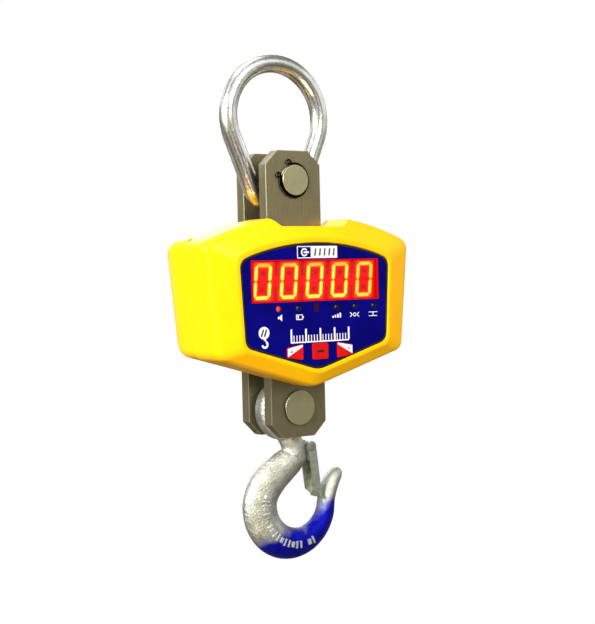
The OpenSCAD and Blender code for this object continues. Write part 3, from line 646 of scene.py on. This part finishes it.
FINISH = {
    "ring_zinc": ring_zinc(),
    "hook_zinc": hook_zinc(),
    "plate_steel": plate_steel(),
    "pin_steel": pin_steel(),
    "clip_black": plated("clip_black", rgb(26, 26, 30), rgb(14, 14, 16), 0.35),
    "cell_alloy": brushed("cell_alloy", rgb(186, 188, 190), rgb(222, 222, 222), roughness=0.3),
    "bolt_steel": plated("bolt_steel", rgb(196, 197, 196), rgb(158, 160, 158)),
    "case_yellow": case_yellow(),
    "black_rubber": moulded("black_rubber", rgb(24, 24, 25), rgb(34, 34, 34), 0.72, 0.8, 0.04),
    "panel_blue": panel_blue(),
    "red_lens": red_lens(),
    "digit_body": digit_body(),
    "digit_bar": lit_bar(),
    "board_green": solder_mask(),
    "brass_pillar": plated("brass_pillar", rgb(206, 172, 92), rgb(168, 134, 62)),
    "led_red": lamp_lens("lamp_dark", rgb(60, 0, 0), 0.0),
    "key_red": moulded("key_red", rgb(206, 12, 12), rgb(186, 6, 8), 0.4, 0.5, 0.012,
                       Specular_IOR_Level=0.15),
    "black_plastic": moulded("black_plastic", rgb(26, 26, 28), rgb(38, 38, 40), 0.45, 0.7, 0.03),
    "battery_case": moulded("battery_case", rgb(44, 56, 84), rgb(34, 44, 68), 0.42),
    "lead_red": moulded("lead_red", rgb(178, 24, 22), rgb(150, 16, 16), 0.5),
    "switch_red": moulded("switch_red", rgb(176, 14, 14), rgb(150, 8, 10), 0.3, 0.5, 0.01),
    "latch_zinc": plated("latch_zinc", rgb(206, 214, 200), rgb(168, 178, 164), 0.38, 5),
    "spring_steel": plated("spring_steel", rgb(150, 150, 150), rgb(110, 110, 112), 0.28),
}
WHITE_INK, BLACK_INK = ink("white_ink", rgb(240, 240, 244)), ink("black_ink", rgb(8, 8, 12))
RED_LIT = lamp_lens("lamp_lit", rgb(255, 60, 50), 1.1)


def show(piece, body, slot, *replaced, finish=None):
    """Gives a finished piece its finish, its body and the CAD nodes that it stands for."""
    piece.data.materials.clear()
    piece.data.materials.append(finish or FINISH[slot])
    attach(piece, body)
    if replaced:
        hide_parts(*replaced)
    return piece


# ---------------------------------------------------------------- load train

def suspension_ring():
    """A round bar spun about the bow and the small end, with straight legs between them."""
    bar_r = RING_BAR_R * MM
    low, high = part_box("suspension_ring")
    bow = (high.x - low.x) / 2 - bar_r
    bow_z = high.z - bar_r - bow
    eye = (RING_EYE_R + RING_BAR_R) * MM
    eye_z = low.z + bar_r + eye
    y = (low.y + high.y) / 2
    lean = math.asin((bow - eye) / (bow_z - eye_z))
    deselect()
    bpy.ops.mesh.primitive_circle_add(vertices=40, radius=bar_r, rotation=(0, lean, 0), location=(
        bow * math.cos(lean), y, bow_z - bow * math.sin(lean)))
    piece = settle("suspension_ring_bar")
    open_mesh(piece)
    bpy.ops.mesh.spin(steps=80, angle=math.pi + 2 * lean, center=(0, y, bow_z), axis=(0, 1, 0))
    leg = Vector(((bow - eye) * math.cos(lean), 0, (eye_z - bow_z) - (eye - bow) * math.sin(lean)))
    bpy.ops.mesh.extrude_edges_indiv()
    bpy.ops.transform.translate(value=leg)
    bpy.ops.mesh.spin(steps=44, angle=math.pi - 2 * lean, center=(0, y, eye_z), axis=(0, 1, 0))
    bpy.ops.mesh.extrude_edges_indiv()
    bpy.ops.transform.translate(value=(leg.x, 0, -leg.z))
    bpy.ops.mesh.select_all(action="SELECT")
    bpy.ops.mesh.remove_doubles(threshold=2e-5)
    bpy.ops.mesh.normals_make_consistent(inside=False)
    close_mesh()
    bpy.ops.object.shade_smooth()
    show(piece, "ring", "ring_zinc", "suspension_ring")


def hook_station(a):
    """Centre, half width and half thickness of the bowl at one angle."""
    u = Vector((math.cos(math.radians(a)), math.sin(math.radians(a))))
    inner, outer = Vector((12.2, -85.3)) + 23.5 * u, Vector((3, -87)) + 47 * u
    middle = (inner + outer) / 2
    return (middle.x, middle.y, (outer - inner).length / 2, 10.5 - 1.5 * ((a - 180) / 180) ** 2)


def hook_stations():
    neck = [(3.5, -25.5, 10.5, 8.2), (8.2, -36.5, 10.4, 9.2), (6.8, -46.5, 12.6, 9.8),
            (-2.6, -53, 14.6, 10.2), (-12.6, -60, 15.6, 10.4), (-20.6, -68.2, 16, 10.5),
            (-25.5, -76.4, 16, 10.5)]
    bowl = [hook_station(180 + 180 * i / 8) for i in range(9)]
    tip = [(45.8, -77, 7.2, 8.8), (49.2, -70.6, 6.9, 8.2), (53, -65.4, 6.2, 7.2),
           (55.7, -62.1, 4.6, 5.4), (57, -60.5, 2, 2.2)]
    return [Vector(s) for s in (*neck, *bowl, *tip)]


def smooth_path(stations, steps):
    """Points on the curve that passes through every station."""
    last = len(stations) - 1
    path = []
    for i in range(last):
        a, b = stations[max(i - 1, 0)], stations[i]
        c, d = stations[i + 1], stations[min(i + 2, last)]
        for k in range(steps):
            t = k / steps
            path.append(0.5 * (2 * b + (c - a) * t + (2 * a - 5 * b + 4 * c - d) * t ** 2
                               + (3 * b - a - 3 * c + d) * t ** 3))
    return path + [stations[last]]


def hook():
    """Swept bowl, spun eye and latch lug fused into one forging."""
    path = smooth_path(hook_stations(), 4)
    loops = []
    for i, p in enumerate(path):
        ahead = path[min(i + 1, len(path) - 1)] - path[max(i - 1, 0)]
        heading = Vector((ahead.x, ahead.y)).normalized()
        ring = []
        for j in range(32):
            c, s = math.cos(math.tau * j / 32), math.sin(math.tau * j / 32)
            place = Vector((p.x - heading.y * p.z * c, p.w * s, p.y + heading.x * p.z * c))
            ring.append(LOWER_PIN + place * MM)
        loops.append(ring)
    body = loft("hook_body", loops)
    eye = hook_eye()
    lug = latch_lug()
    forging = join("hook_forging", [body, eye, lug])
    forging.data.remesh_voxel_size = 0.65 * MM
    bpy.ops.object.voxel_remesh()
    modify(forging, "SMOOTH", factor=0.5, iterations=3)
    drill = peg("drill", LATCH_X, PIN_DROP + LATCH_Z, -20, 20, LATCH_BORE)
    cut(forging, drill)
    pick(forging)
    bpy.ops.object.shade_smooth()
    show(forging, "hook", "hook_zinc", "hook")


def hook_eye():
    """A bar with rounded faces, spun once round the pin."""
    mid_r, bar_r, half_flat = 21.7 * MM, 5.3 * MM, 3.2 * MM
    centre = LOWER_PIN - Vector((0, 0, 3.1 * MM))
    deselect()
    bpy.ops.mesh.primitive_circle_add(vertices=32, radius=bar_r, location=centre + Vector((mid_r, 0, 0)))
    eye = settle("hook_eye")
    open_mesh(eye)
    mesh = bmesh.from_edit_mesh(eye.data)
    for vert in mesh.verts:
        vert.co.y += half_flat if vert.co.y > centre.y else -half_flat
    bmesh.update_edit_mesh(eye.data)
    bpy.ops.mesh.spin(steps=72, angle=math.tau, center=centre, axis=(0, 1, 0))
    bpy.ops.mesh.select_all(action="SELECT")
    bpy.ops.mesh.remove_doubles(threshold=2e-5)
    bpy.ops.mesh.normals_make_consistent(inside=False)
    return close_mesh()


def pin_outline(points):
    """Points about the lower pin, as the case's front plane has them."""
    return [(x, z + PIN_DROP) for x, z in points]


def latch_lug():
    half, x, z = 3.2, LATCH_X, LATCH_Z
    nose = [(x + 4.3 * math.cos(math.radians(a)), z + 4.3 * math.sin(math.radians(a)))
            for a in range(100, -121, -20)]
    return prism("latch_lug", pin_outline([(12, -30), *nose, (12, -46)]), -half, half)


def hook_marks():
    """Short raised bars and pads along the arm and the bowl, where a forging carries its size."""
    marks = []
    for number, a in enumerate(MARK_ANGLES):
        u = Vector((math.cos(math.radians(a)), math.sin(math.radians(a))))
        v = Vector((-u.y, u.x))
        spot = hook_station(max(a, 180))
        centre = Vector((spot[0], spot[1])) if a >= 180 else Vector((3, -87)) + 30.5 * u
        half_l, half_w = (3.2, 0.8) if number % 3 else (2.4, 1.6)
        corners = [centre + u * s * half_l + v * t * half_w for s, t in ((1, 1), (1, -1), (-1, -1), (-1, 1))]
        marks.append(ease(prism("mark", pin_outline([tuple(c) for c in corners]), -11.5, -8), 0.35, 2))
    show(join("hook_marks", marks), "hook", "hook_zinc", finish=raised_zinc())


def hardware():
    """Plates, pins, clips, latch and small fittings: each true to its node, with its edges eased."""
    radii = {"upper_front_plate": 0.9, "upper_rear_plate": 0.9, "lower_front_plate": 0.9,
             "lower_rear_plate": 0.9, "upper_pin": 0.8, "lower_pin": 0.6, "upper_circlip": 0.2,
             "lower_circlip": 0.2, "upper_seal": 0.6, "lower_seal": 0.6, "latch_pin": 0.4,
             "safety_latch": 0.45, "casing_gasket": 0.1, "casing_screws": 0.25,
             "bracket_screws": 0.3, "battery_cover_screws": 0.25, "charge_socket": 0.4,
             "socket_cap": 0.5, "switch_frame": 0.4, "power_rocker": 0.4, "front_panel": 0.12,
             "display_window": 0.25, "casing_brackets": 0.4, "load_cell": 0.5}
    for node, radius in radii.items():
        piece = from_cad(node, node + "_finished", radius, 3 if radius > 0.4 else 2)
        show(piece, NODE_BODY[node], NODE_SLOT[node], node)
    receiver = from_cad("ir_receiver", "ir_receiver_finished", 0.3)
    show(receiver, "scale", NODE_SLOT["ir_receiver"], "ir_receiver", finish=receiver_red())


# ---------------------------------------------------------------- case

def front_shell():
    """Pocket, flat lip, crease, sloping frame, rounded shoulder and side wall, hollowed from behind."""
    pocket = shield(PANEL_LINE, -0.4)
    lip_in, floor = at_depth(pocket, LIP_Y), at_depth(pocket, POCKET_Y)
    lip = at_depth(shield(CREASE_LINE), LIP_Y)
    edge = at_depth(shield(CASE_LINE), EDGE_Y - 1)
    rim = at_depth(shield(CASE_LINE), PARTING_Y)
    shell = loft("front_shell", [
        floor,
        *round_over(between(floor, lip_in, 0.6), lip_in, between(lip_in, lip, 0.2), 4),
        *round_over(between(lip_in, lip, 0.75), lip, between(lip, edge, 0.05), 4),
        *round_over(between(lip, edge, 0.72), edge, between(edge, rim, 0.2), 8),
        between(rim, edge, 0.03), at_depth(shield(CASE_LINE, 0.9), PARTING_Y)])
    cavity = loft("cavity", [at_depth(shield(CREASE_LINE, WALL + 1), FRONT_IN_Y),
                             at_depth(shield(CASE_LINE, WALL), EDGE_Y + 4),
                             at_depth(shield(CASE_LINE, WALL), PARTING_Y - WALL),
                             at_depth(shield(REAR_LINE, WALL + 1), PARTING_Y - WALL),
                             at_depth(shield(REAR_LINE, WALL + 1), PARTING_Y + 1)])
    (x0, z0), (x1, z1) = NOTCH
    cut(cavity, slab("notch_floor", (-60, 60), (EDGE_Y - 1, PARTING_Y + 2), (z0 - WALL, 90)))
    notch = prism("notch", [(-x0, z0), (x0, z0), (x1, z1), (-x1, z1)], LIP_Y - 2, PARTING_Y + 2)
    depth = (POCKET_Y - 1, FRONT_IN_Y + 1)
    openings = [slab("window_hole", (WINDOW[0].x, WINDOW[1].x), depth, (WINDOW[0].z, WINDOW[1].z)),
                slab("receiver_hole", (RECEIVER[0] - RECEIVER[1], RECEIVER[0] + RECEIVER[1]), depth,
                     (LAMP_Z - RECEIVER[2], LAMP_Z + RECEIVER[2]))]
    openings += [peg("lamp_hole", x, LAMP_Z, *depth, LAMP_D + 0.6) for x in LAMPS]
    openings += [prism("key_hole", key_outline(key, 0.3), *depth) for key in KEYS]
    cut(shell, notch)
    modify(shell, "BEVEL", width=1.4 * MM, segments=4, limit_method="ANGLE", angle_limit=math.radians(34))
    cut(shell, cavity, join("openings", openings), plate_slot())
    smooth_shading(shell, 32)
    show(shell, "scale", "case_yellow", "front_casing")


def plate_slot():
    return slab("plate_slot", (-SLOT[0], SLOT[0]), (-SLOT[1], SLOT[1]), (-100, 100))


def rear_shell():
    """Rounded back of the case, with the openings that its fittings stand in."""
    turn = [math.radians(a) for a in range(0, 91, 9)]
    depth = BACK_Y - 2
    outer = [at_depth(shield(REAR_LINE, 15 * (1 - math.cos(a))), 2 + depth * math.sin(a)) for a in turn]
    inner = [at_depth(shield(REAR_LINE, WALL + 13 * (1 - math.cos(a))), 2 + (depth - WALL) * math.sin(a))
             for a in turn]
    shell = loft("rear_shell", [at_depth(shield(REAR_LINE, 0.7), REAR_Y),
                                at_depth(shield(REAR_LINE), REAR_Y + 0.7), *outer])
    hollow = loft("hollow", [at_depth(shield(REAR_LINE, WALL), REAR_Y - 1), *inner])
    cover, socket, frame_box = (local_box(n) for n in ("battery_cover", "charge_socket", "switch_frame"))
    battery = local_box("battery")
    holes = [slab("battery_hole", (battery[0].x - 0.5, battery[1].x + 0.5), (BACK_Y - WALL - 2, BACK_Y + 1),
                  (battery[0].z - 0.5, battery[1].z + 0.5)),
             peg("socket_hole", (socket[0].x + socket[1].x) / 2, (socket[0].z + socket[1].z) / 2,
                 BACK_Y - WALL - 2, BACK_Y + 1, 12),
             slab("switch_hole", (frame_box[0].x + 1.5, frame_box[1].x - 1.5),
                  (BACK_Y - WALL - 2, BACK_Y + 1), (frame_box[0].z + 1.5, frame_box[1].z - 1.5))]
    holes += [peg("screw_hole", side * x, z, BACK_Y - WALL + 0.4, BACK_Y + 1, 7.6)
              for x, z in SCREWS for side in (-1, 1)]
    cut(shell, join("holes", holes))
    modify(shell, "BEVEL", width=0.5 * MM, segments=2, limit_method="ANGLE", angle_limit=math.radians(40))
    cut(shell, hollow, plate_slot())
    smooth_shading(shell, 32)
    show(shell, "scale", "case_yellow", "rear_casing")


def battery_cover():
    """The cover's own plate and box, with a row of finger ribs."""
    low, high = local_box("battery_cover")
    cover = from_cad("battery_cover", "battery_cover_plate", 0.7, 3)
    ribs = [slab("rib", (low.x + 12, high.x - 12), (high.y - 1, high.y + 0.9), (z - 0.8, z + 0.8))
            for z in (low.z + 9 + 4 * i for i in range(5))]
    for rib in ribs:
        ease(rib, 0.5, 3)
    show(join("battery_cover_plate", [cover, *ribs]), "scale", "case_yellow", "battery_cover")


# ---------------------------------------------------------------- front panel

def key_outline(key, grow=0.0):
    x, left_h, right_h = KEYS[key]
    half = KEY_W / 2 + grow
    a, b = left_h / 2 + grow, right_h / 2 + grow
    corners = [(x - half, KEY_Z - a), (x + half, KEY_Z - b), (x + half, KEY_Z + b), (x - half, KEY_Z + a)]
    outline = []
    for i, corner in enumerate(corners):
        outline += [tuple(p) for p in fillet(corners[i - 1], corner, corners[(i + 1) % 4], 1.5, 4)]
    return outline


def printed(name, outlines, y, body="scale", finish=None, slot="panel_blue"):
    """Ink shapes standing a hair above the surface that they are printed on."""
    marks = [prism("ink", outline, y - 0.06, y + 0.02) for outline in outlines]
    return show(join(name, marks), body, slot, finish=finish or WHITE_INK)


def box_outline(x0, x1, z0, z1, lean=0.0):
    shift = (z1 - z0) * lean
    return [(x0, z0), (x1, z0), (x1 + shift, z1), (x0 + shift, z1)]


def box_ring(x0, x1, z0, z1, w):
    """Four strips that frame a box."""
    return [box_outline(x0, x1, z0, z0 + w), box_outline(x0, x1, z1 - w, z1),
            box_outline(x0, x0 + w, z0 + w, z1 - w), box_outline(x1 - w, x1, z0 + w, z1 - w)]


def round_band(x, z, outer, inner, start, end, steps=20):
    """Part of a ring, as one closed outline."""
    angles = [math.radians(start + (end - start) * i / steps) for i in range(steps + 1)]
    return ([(x + outer * math.cos(a), z + outer * math.sin(a)) for a in angles]
            + [(x + inner * math.cos(a), z + inner * math.sin(a)) for a in reversed(angles)])


def disc(x, z, r, steps=28):
    return [(x + r * math.cos(math.tau * i / steps), z + r * math.sin(math.tau * i / steps))
            for i in range(steps)]


def panel_print():
    """Border, name block, lamp symbols, load graduation and hook symbol of the printed film."""
    panel_border(0.2, 0.05, 0.02)
    block = [box_outline(-5, 21.4, 30.2, 40.3), *box_ring(-19.5, -5, 30.2, 40.3, 0.7),
             round_band(-12.2, 35.2, 3.4, 2.2, 30, 330), box_outline(-12.8, -7.6, 34.5, 35.9)]
    printed("name_block", block, PANEL_Y)
    stripes = [box_outline(x, x + 1.5, 32.2, 38.3, 0.16) for x in (-2.4, 2.4, 7.2, 12, 16.6)]
    printed("name_block_stripes", stripes, PANEL_Y - 0.05, finish=BLACK_INK)
    z = -18.5
    icons = [[(-40, z - 1), (-38.4, z - 1), (-36, z - 2.8), (-36, z + 2.8), (-38.4, z + 1), (-40, z + 1)],
             *box_ring(-22, -15.4, z - 2.4, z + 2.0, 0.6), box_outline(-15.4, -14.6, z - 1.1, z + 0.7),
             box_outline(-20.7, -19.3, z - 1.4, z + 1.0)]
    icons += [box_outline(15 + 2.5 * i, 16.4 + 2.5 * i, z - 2, z - 0.4 + 0.8 * i) for i in range(4)]
    icons += [[(33.2, z - 2), (34.2, z - 2), (36.2, z), (34.2, z + 2), (33.2, z + 2), (35.2, z)],
              [(43.4, z - 2), (42.4, z - 2), (40.4, z), (42.4, z + 2), (43.4, z + 2), (41.4, z)],
              round_band(38.3, z, 1.7, 1.1, 0, 359)]
    icons += [box_outline(53.4, 62.6, z - 2, z - 1.4), box_outline(53.4, 62.6, z + 1.2, z + 1.8),
              box_outline(57.6, 58.4, z - 1.4, z + 1.2)]
    printed("lamp_symbols", icons, PANEL_Y)
    graduation = [box_outline(-28, 31.6, -40.2, -39.2)]
    graduation += [box_outline(-28 + 2.94 * i, -27.2 + 2.94 * i + (0.8 if i % 5 == 0 else 0), -39.2,
                               -28.6 if i % 5 == 0 else -33.8) for i in range(21)]
    printed("load_graduation", graduation, PANEL_Y)
    x, z = -54, -30.4
    printed("hook_symbol", [disc(x, z, 5.2), round_band(x + 0.6, z - 9.4, 3.4, 1.6, 70, -170),
                            box_outline(x - 0.3, x + 1.7, z - 6.4, z - 4.8)], PANEL_Y)
    printed("hook_symbol_stripes", [box_outline(x - 3.6 + 3 * i, x - 2 + 3 * i, z - 3, z + 3, 0.4)
                                    for i in range(2)], PANEL_Y - 0.05, finish=BLACK_INK)


def panel_border(inset, proud, sunk):
    """Black line round the edge of the panel."""
    edge, inside = shield(PANEL_LINE, inset), shield(PANEL_LINE, 1.5)
    front, back = PANEL_Y - proud, PANEL_Y + sunk
    loops = [at_depth(edge, back), at_depth(edge, front), at_depth(inside, front), at_depth(inside, back)]
    show(loft("panel_border", loops, closed=True), "scale", "panel_blue", finish=BLACK_INK)


def display():
    """Digit modules and their bars: five noughts lit, the middle bars unlit but with a painted red glow."""
    bars = from_cad("digit_segments", "digit_bars", 0.08, 1)
    show(bars, "scale", "digit_bar", "digit_segments")
    bars.data.materials.append(unlit_bar_painted_glow())
    for face in bars.data.polygons:
        if abs((face.center.z - CASE.z) / MM - DIGIT_Z) < 2.0:
            offset = ((face.center.x - CASE.x) / MM + DIGIT_PITCH / 2) % DIGIT_PITCH - DIGIT_PITCH / 2
            if abs(offset) < 4.9:
                face.material_index = 1
    modules = from_cad("digit_modules", "digit_blocks", 0.3, 2)
    show(modules, "scale", "digit_body", "digit_modules")


def lamps():
    """Five domed lamps; the first is lit."""
    low, high = local_box("indicator_leds")
    for number, x in enumerate(LAMPS):
        deselect()
        bpy.ops.mesh.primitive_uv_sphere_add(segments=40, ring_count=20, radius=LAMP_D / 2 * MM,
                                             location=case_point(x, low.y + LAMP_D / 2, LAMP_Z))
        dome = settle("dome")
        barrel = peg("barrel", x, LAMP_Z, low.y + LAMP_D / 2, high.y, LAMP_D)
        flange = ease(peg("flange", x, LAMP_Z, high.y - 1.5, high.y, LAMP_D + 1), 0.2)
        modify(barrel, "BOOLEAN", operation="UNION", solver="EXACT", object=dome)
        bpy.data.objects.remove(dome)
        lamp = join(f"lamp_{number + 1}", [barrel, flange])
        bpy.ops.object.shade_smooth_by_angle(angle=math.radians(40))
        replaced = ("indicator_leds",) if number == 0 else ()
        show(lamp, "scale", "led_red", *replaced, finish=None if number else RED_LIT)
        tube = [[case_point(x + r * math.cos(a), y, LAMP_Z + r * math.sin(a)) for a in
                 (math.tau * i / 40 for i in range(40))] for r, y in (
                     (2.56, FRONT_IN_Y), (2.56, PANEL_Y + 0.1), (2.64, PANEL_Y + 0.1), (2.64, FRONT_IN_Y))]
        show(loft(f"lamp_collar_{number + 1}", tube, closed=True), "scale", "black_plastic")


def keys():
    """Red keys with a domed edge; the outer two carry a white corner with a small arrow."""
    for node in KEYS:
        low, _ = local_box(node)
        cap = from_cad(node, node + "_cap", 0.45, 3)
        show(cap, node, "key_red", node)
        x = KEYS[node][0]
        face = low.y
        if node == "centre_key":
            printed("centre_key_mark", [box_outline(x - 3.4, x + 3.4, KEY_Z - 1, KEY_Z + 1)], face, node,
                    BLACK_INK, "key_red")
            continue
        side = 1 if node == "left_key" else -1
        inner_h, outer_h, half = KEY_TALL / 2 - 0.5, KEY_SHORT / 2 - 0.5, KEY_W / 2 - 0.5
        corner = [(x - side * half, KEY_Z - outer_h), (x - side * half, KEY_Z + outer_h),
                  (x + side * half, KEY_Z + inner_h), (x + side * half, KEY_Z + inner_h - 1.6)]
        printed(node + "_corner", [corner], face, node, WHITE_INK, "key_red")
        arrow = [(x - side * 5.4, KEY_Z), (x - side * 3, KEY_Z + 2.2), (x - side * 3, KEY_Z + 0.2)]
        printed(node + "_arrow", [arrow], face - 0.05, node, BLACK_INK, "key_red")


# ---------------------------------------------------------------- studio

def softbox(name, place, width, power, colour=(1.0, 1.0, 1.0)):
    light = bpy.data.lights.new(name, "AREA")
    light.shape, light.size, light.energy, light.color = "DISK", width, power, colour
    holder = bpy.data.objects.new(name, light)
    bpy.context.scene.collection.objects.link(holder)
    holder.location = place
    holder.rotation_mode = "QUATERNION"
    holder.rotation_quaternion = (CASE - Vector(place)).to_track_quat("-Z", "Y")
    holder.visible_camera = False


def studio():
    """White room, soft lights and a pale floor well below the hanging scale."""
    world = bpy.data.worlds.new("studio")
    bpy.context.scene.world = world
    world.use_nodes = True
    tree = world.node_tree
    room = tree.nodes["Background"]
    place = tree.nodes.new("ShaderNodeTexCoord").outputs["Generated"]
    clouds = tree.nodes.new("ShaderNodeTexNoise")
    clouds.inputs["Scale"].default_value = 1.9
    clouds.inputs["Detail"].default_value = 1.0
    tree.links.new(place, clouds.inputs["Vector"])
    height = tree.nodes.new("ShaderNodeSeparateXYZ")
    tree.links.new(place, height.inputs[0])
    levels = ((clouds.outputs["Fac"], 0.44, 0.55, 0.25, 1.0), (height.outputs["Z"], -0.7, 0.5, 0.5, 1.05))
    tones = []
    for source, low, high, dark, light in levels:
        tone = tree.nodes.new("ShaderNodeMapRange")
        tone.interpolation_type = "SMOOTHSTEP"
        for socket, value in {"From Min": low, "From Max": high, "To Min": dark, "To Max": light}.items():
            tone.inputs[socket].default_value = value
        tree.links.new(source, tone.inputs["Value"])
        tones.append(tone.outputs["Result"])
    both = tree.nodes.new("ShaderNodeMath")
    both.operation = "MULTIPLY"
    for socket, tone in zip(both.inputs, tones):
        tree.links.new(tone, socket)
    tree.links.new(both.outputs[0], room.inputs["Strength"])
    backdrop = tree.nodes.new("ShaderNodeBackground")
    backdrop.inputs["Strength"].default_value = 1.0
    backdrop.inputs["Color"].default_value = (1, 1, 1, 1)
    warm = tree.nodes.new("ShaderNodeMix")
    warm.data_type = "RGBA"
    warm.inputs[6].default_value = (1.0, 0.72, 0.42, 1)
    warm.inputs[7].default_value = (1, 1, 1, 1)
    tree.links.new(tones[1], warm.inputs["Factor"])
    tree.links.new(warm.outputs[2], room.inputs["Color"])
    seen = tree.nodes.new("ShaderNodeLightPath").outputs["Is Camera Ray"]
    choose = tree.nodes.new("ShaderNodeMixShader")
    tree.links.new(seen, choose.inputs[0])
    tree.links.new(room.outputs[0], choose.inputs[1])
    tree.links.new(backdrop.outputs[0], choose.inputs[2])
    tree.links.new(choose.outputs[0], tree.nodes["World Output"].inputs["Surface"])
    deselect()
    bpy.ops.mesh.primitive_circle_add(vertices=96, radius=1.0, fill_type="NGON",
                                      location=(0, 0, cad_box[0].z - 0.35))
    floor = settle("floor")
    pale = Finish("floor_white", rgb(252, 252, 252), 0.9, Specular_IOR_Level=0.0)
    floor.data.materials.append(pale.material)
    floor.visible_diffuse = False
    floor.visible_glossy = False
    softbox("key_light", (-1.7, -0.5, 0.4), 1.1, 54)
    softbox("fill_light", (-0.1, -1.6, 0.7), 0.9, 17, (1.0, 0.95, 0.85))
    softbox("low_light", (-0.5, -1.2, -1.1), 0.8, 8, (1.0, 0.78, 0.5))
    softbox("rim_light", (0.5, 1.5, 0.5), 1.2, 9)
    softbox("top_light", (-0.2, 0.1, 1.6), 1.2, 9)


def camera():
    """Left of the front and level with the case, leaning a little."""
    view = bpy.data.cameras.new("camera")
    view.lens, view.sensor_width, view.clip_end = 78.09, 36, 100
    holder = bpy.data.objects.new("camera", view)
    bpy.context.scene.collection.objects.link(holder)
    stand, target, roll = Vector((-0.65, -0.9895, -0.1744)), Vector((0.001, -0.0275, -0.2083)), -1.41
    holder.location = stand
    holder.rotation_mode = "QUATERNION"
    aim = (target - stand).to_track_quat("-Z", "Y")
    holder.rotation_quaternion = aim @ Quaternion((0, 0, 1), math.radians(roll))
    bpy.context.scene.camera = holder
    bpy.context.scene.view_settings.view_transform = "Standard"


for node, piece in frame["nodes"].items():
    piece.data.materials.clear()
    piece.data.materials.append(FINISH[NODE_SLOT[node]])

camera()
studio()
suspension_ring()
hook()
hook_marks()
hardware()
front_shell()
rear_shell()
battery_cover()
panel_print()
panel_border(0.1, 0.08, 0.1)
display()
lamps()
keys()
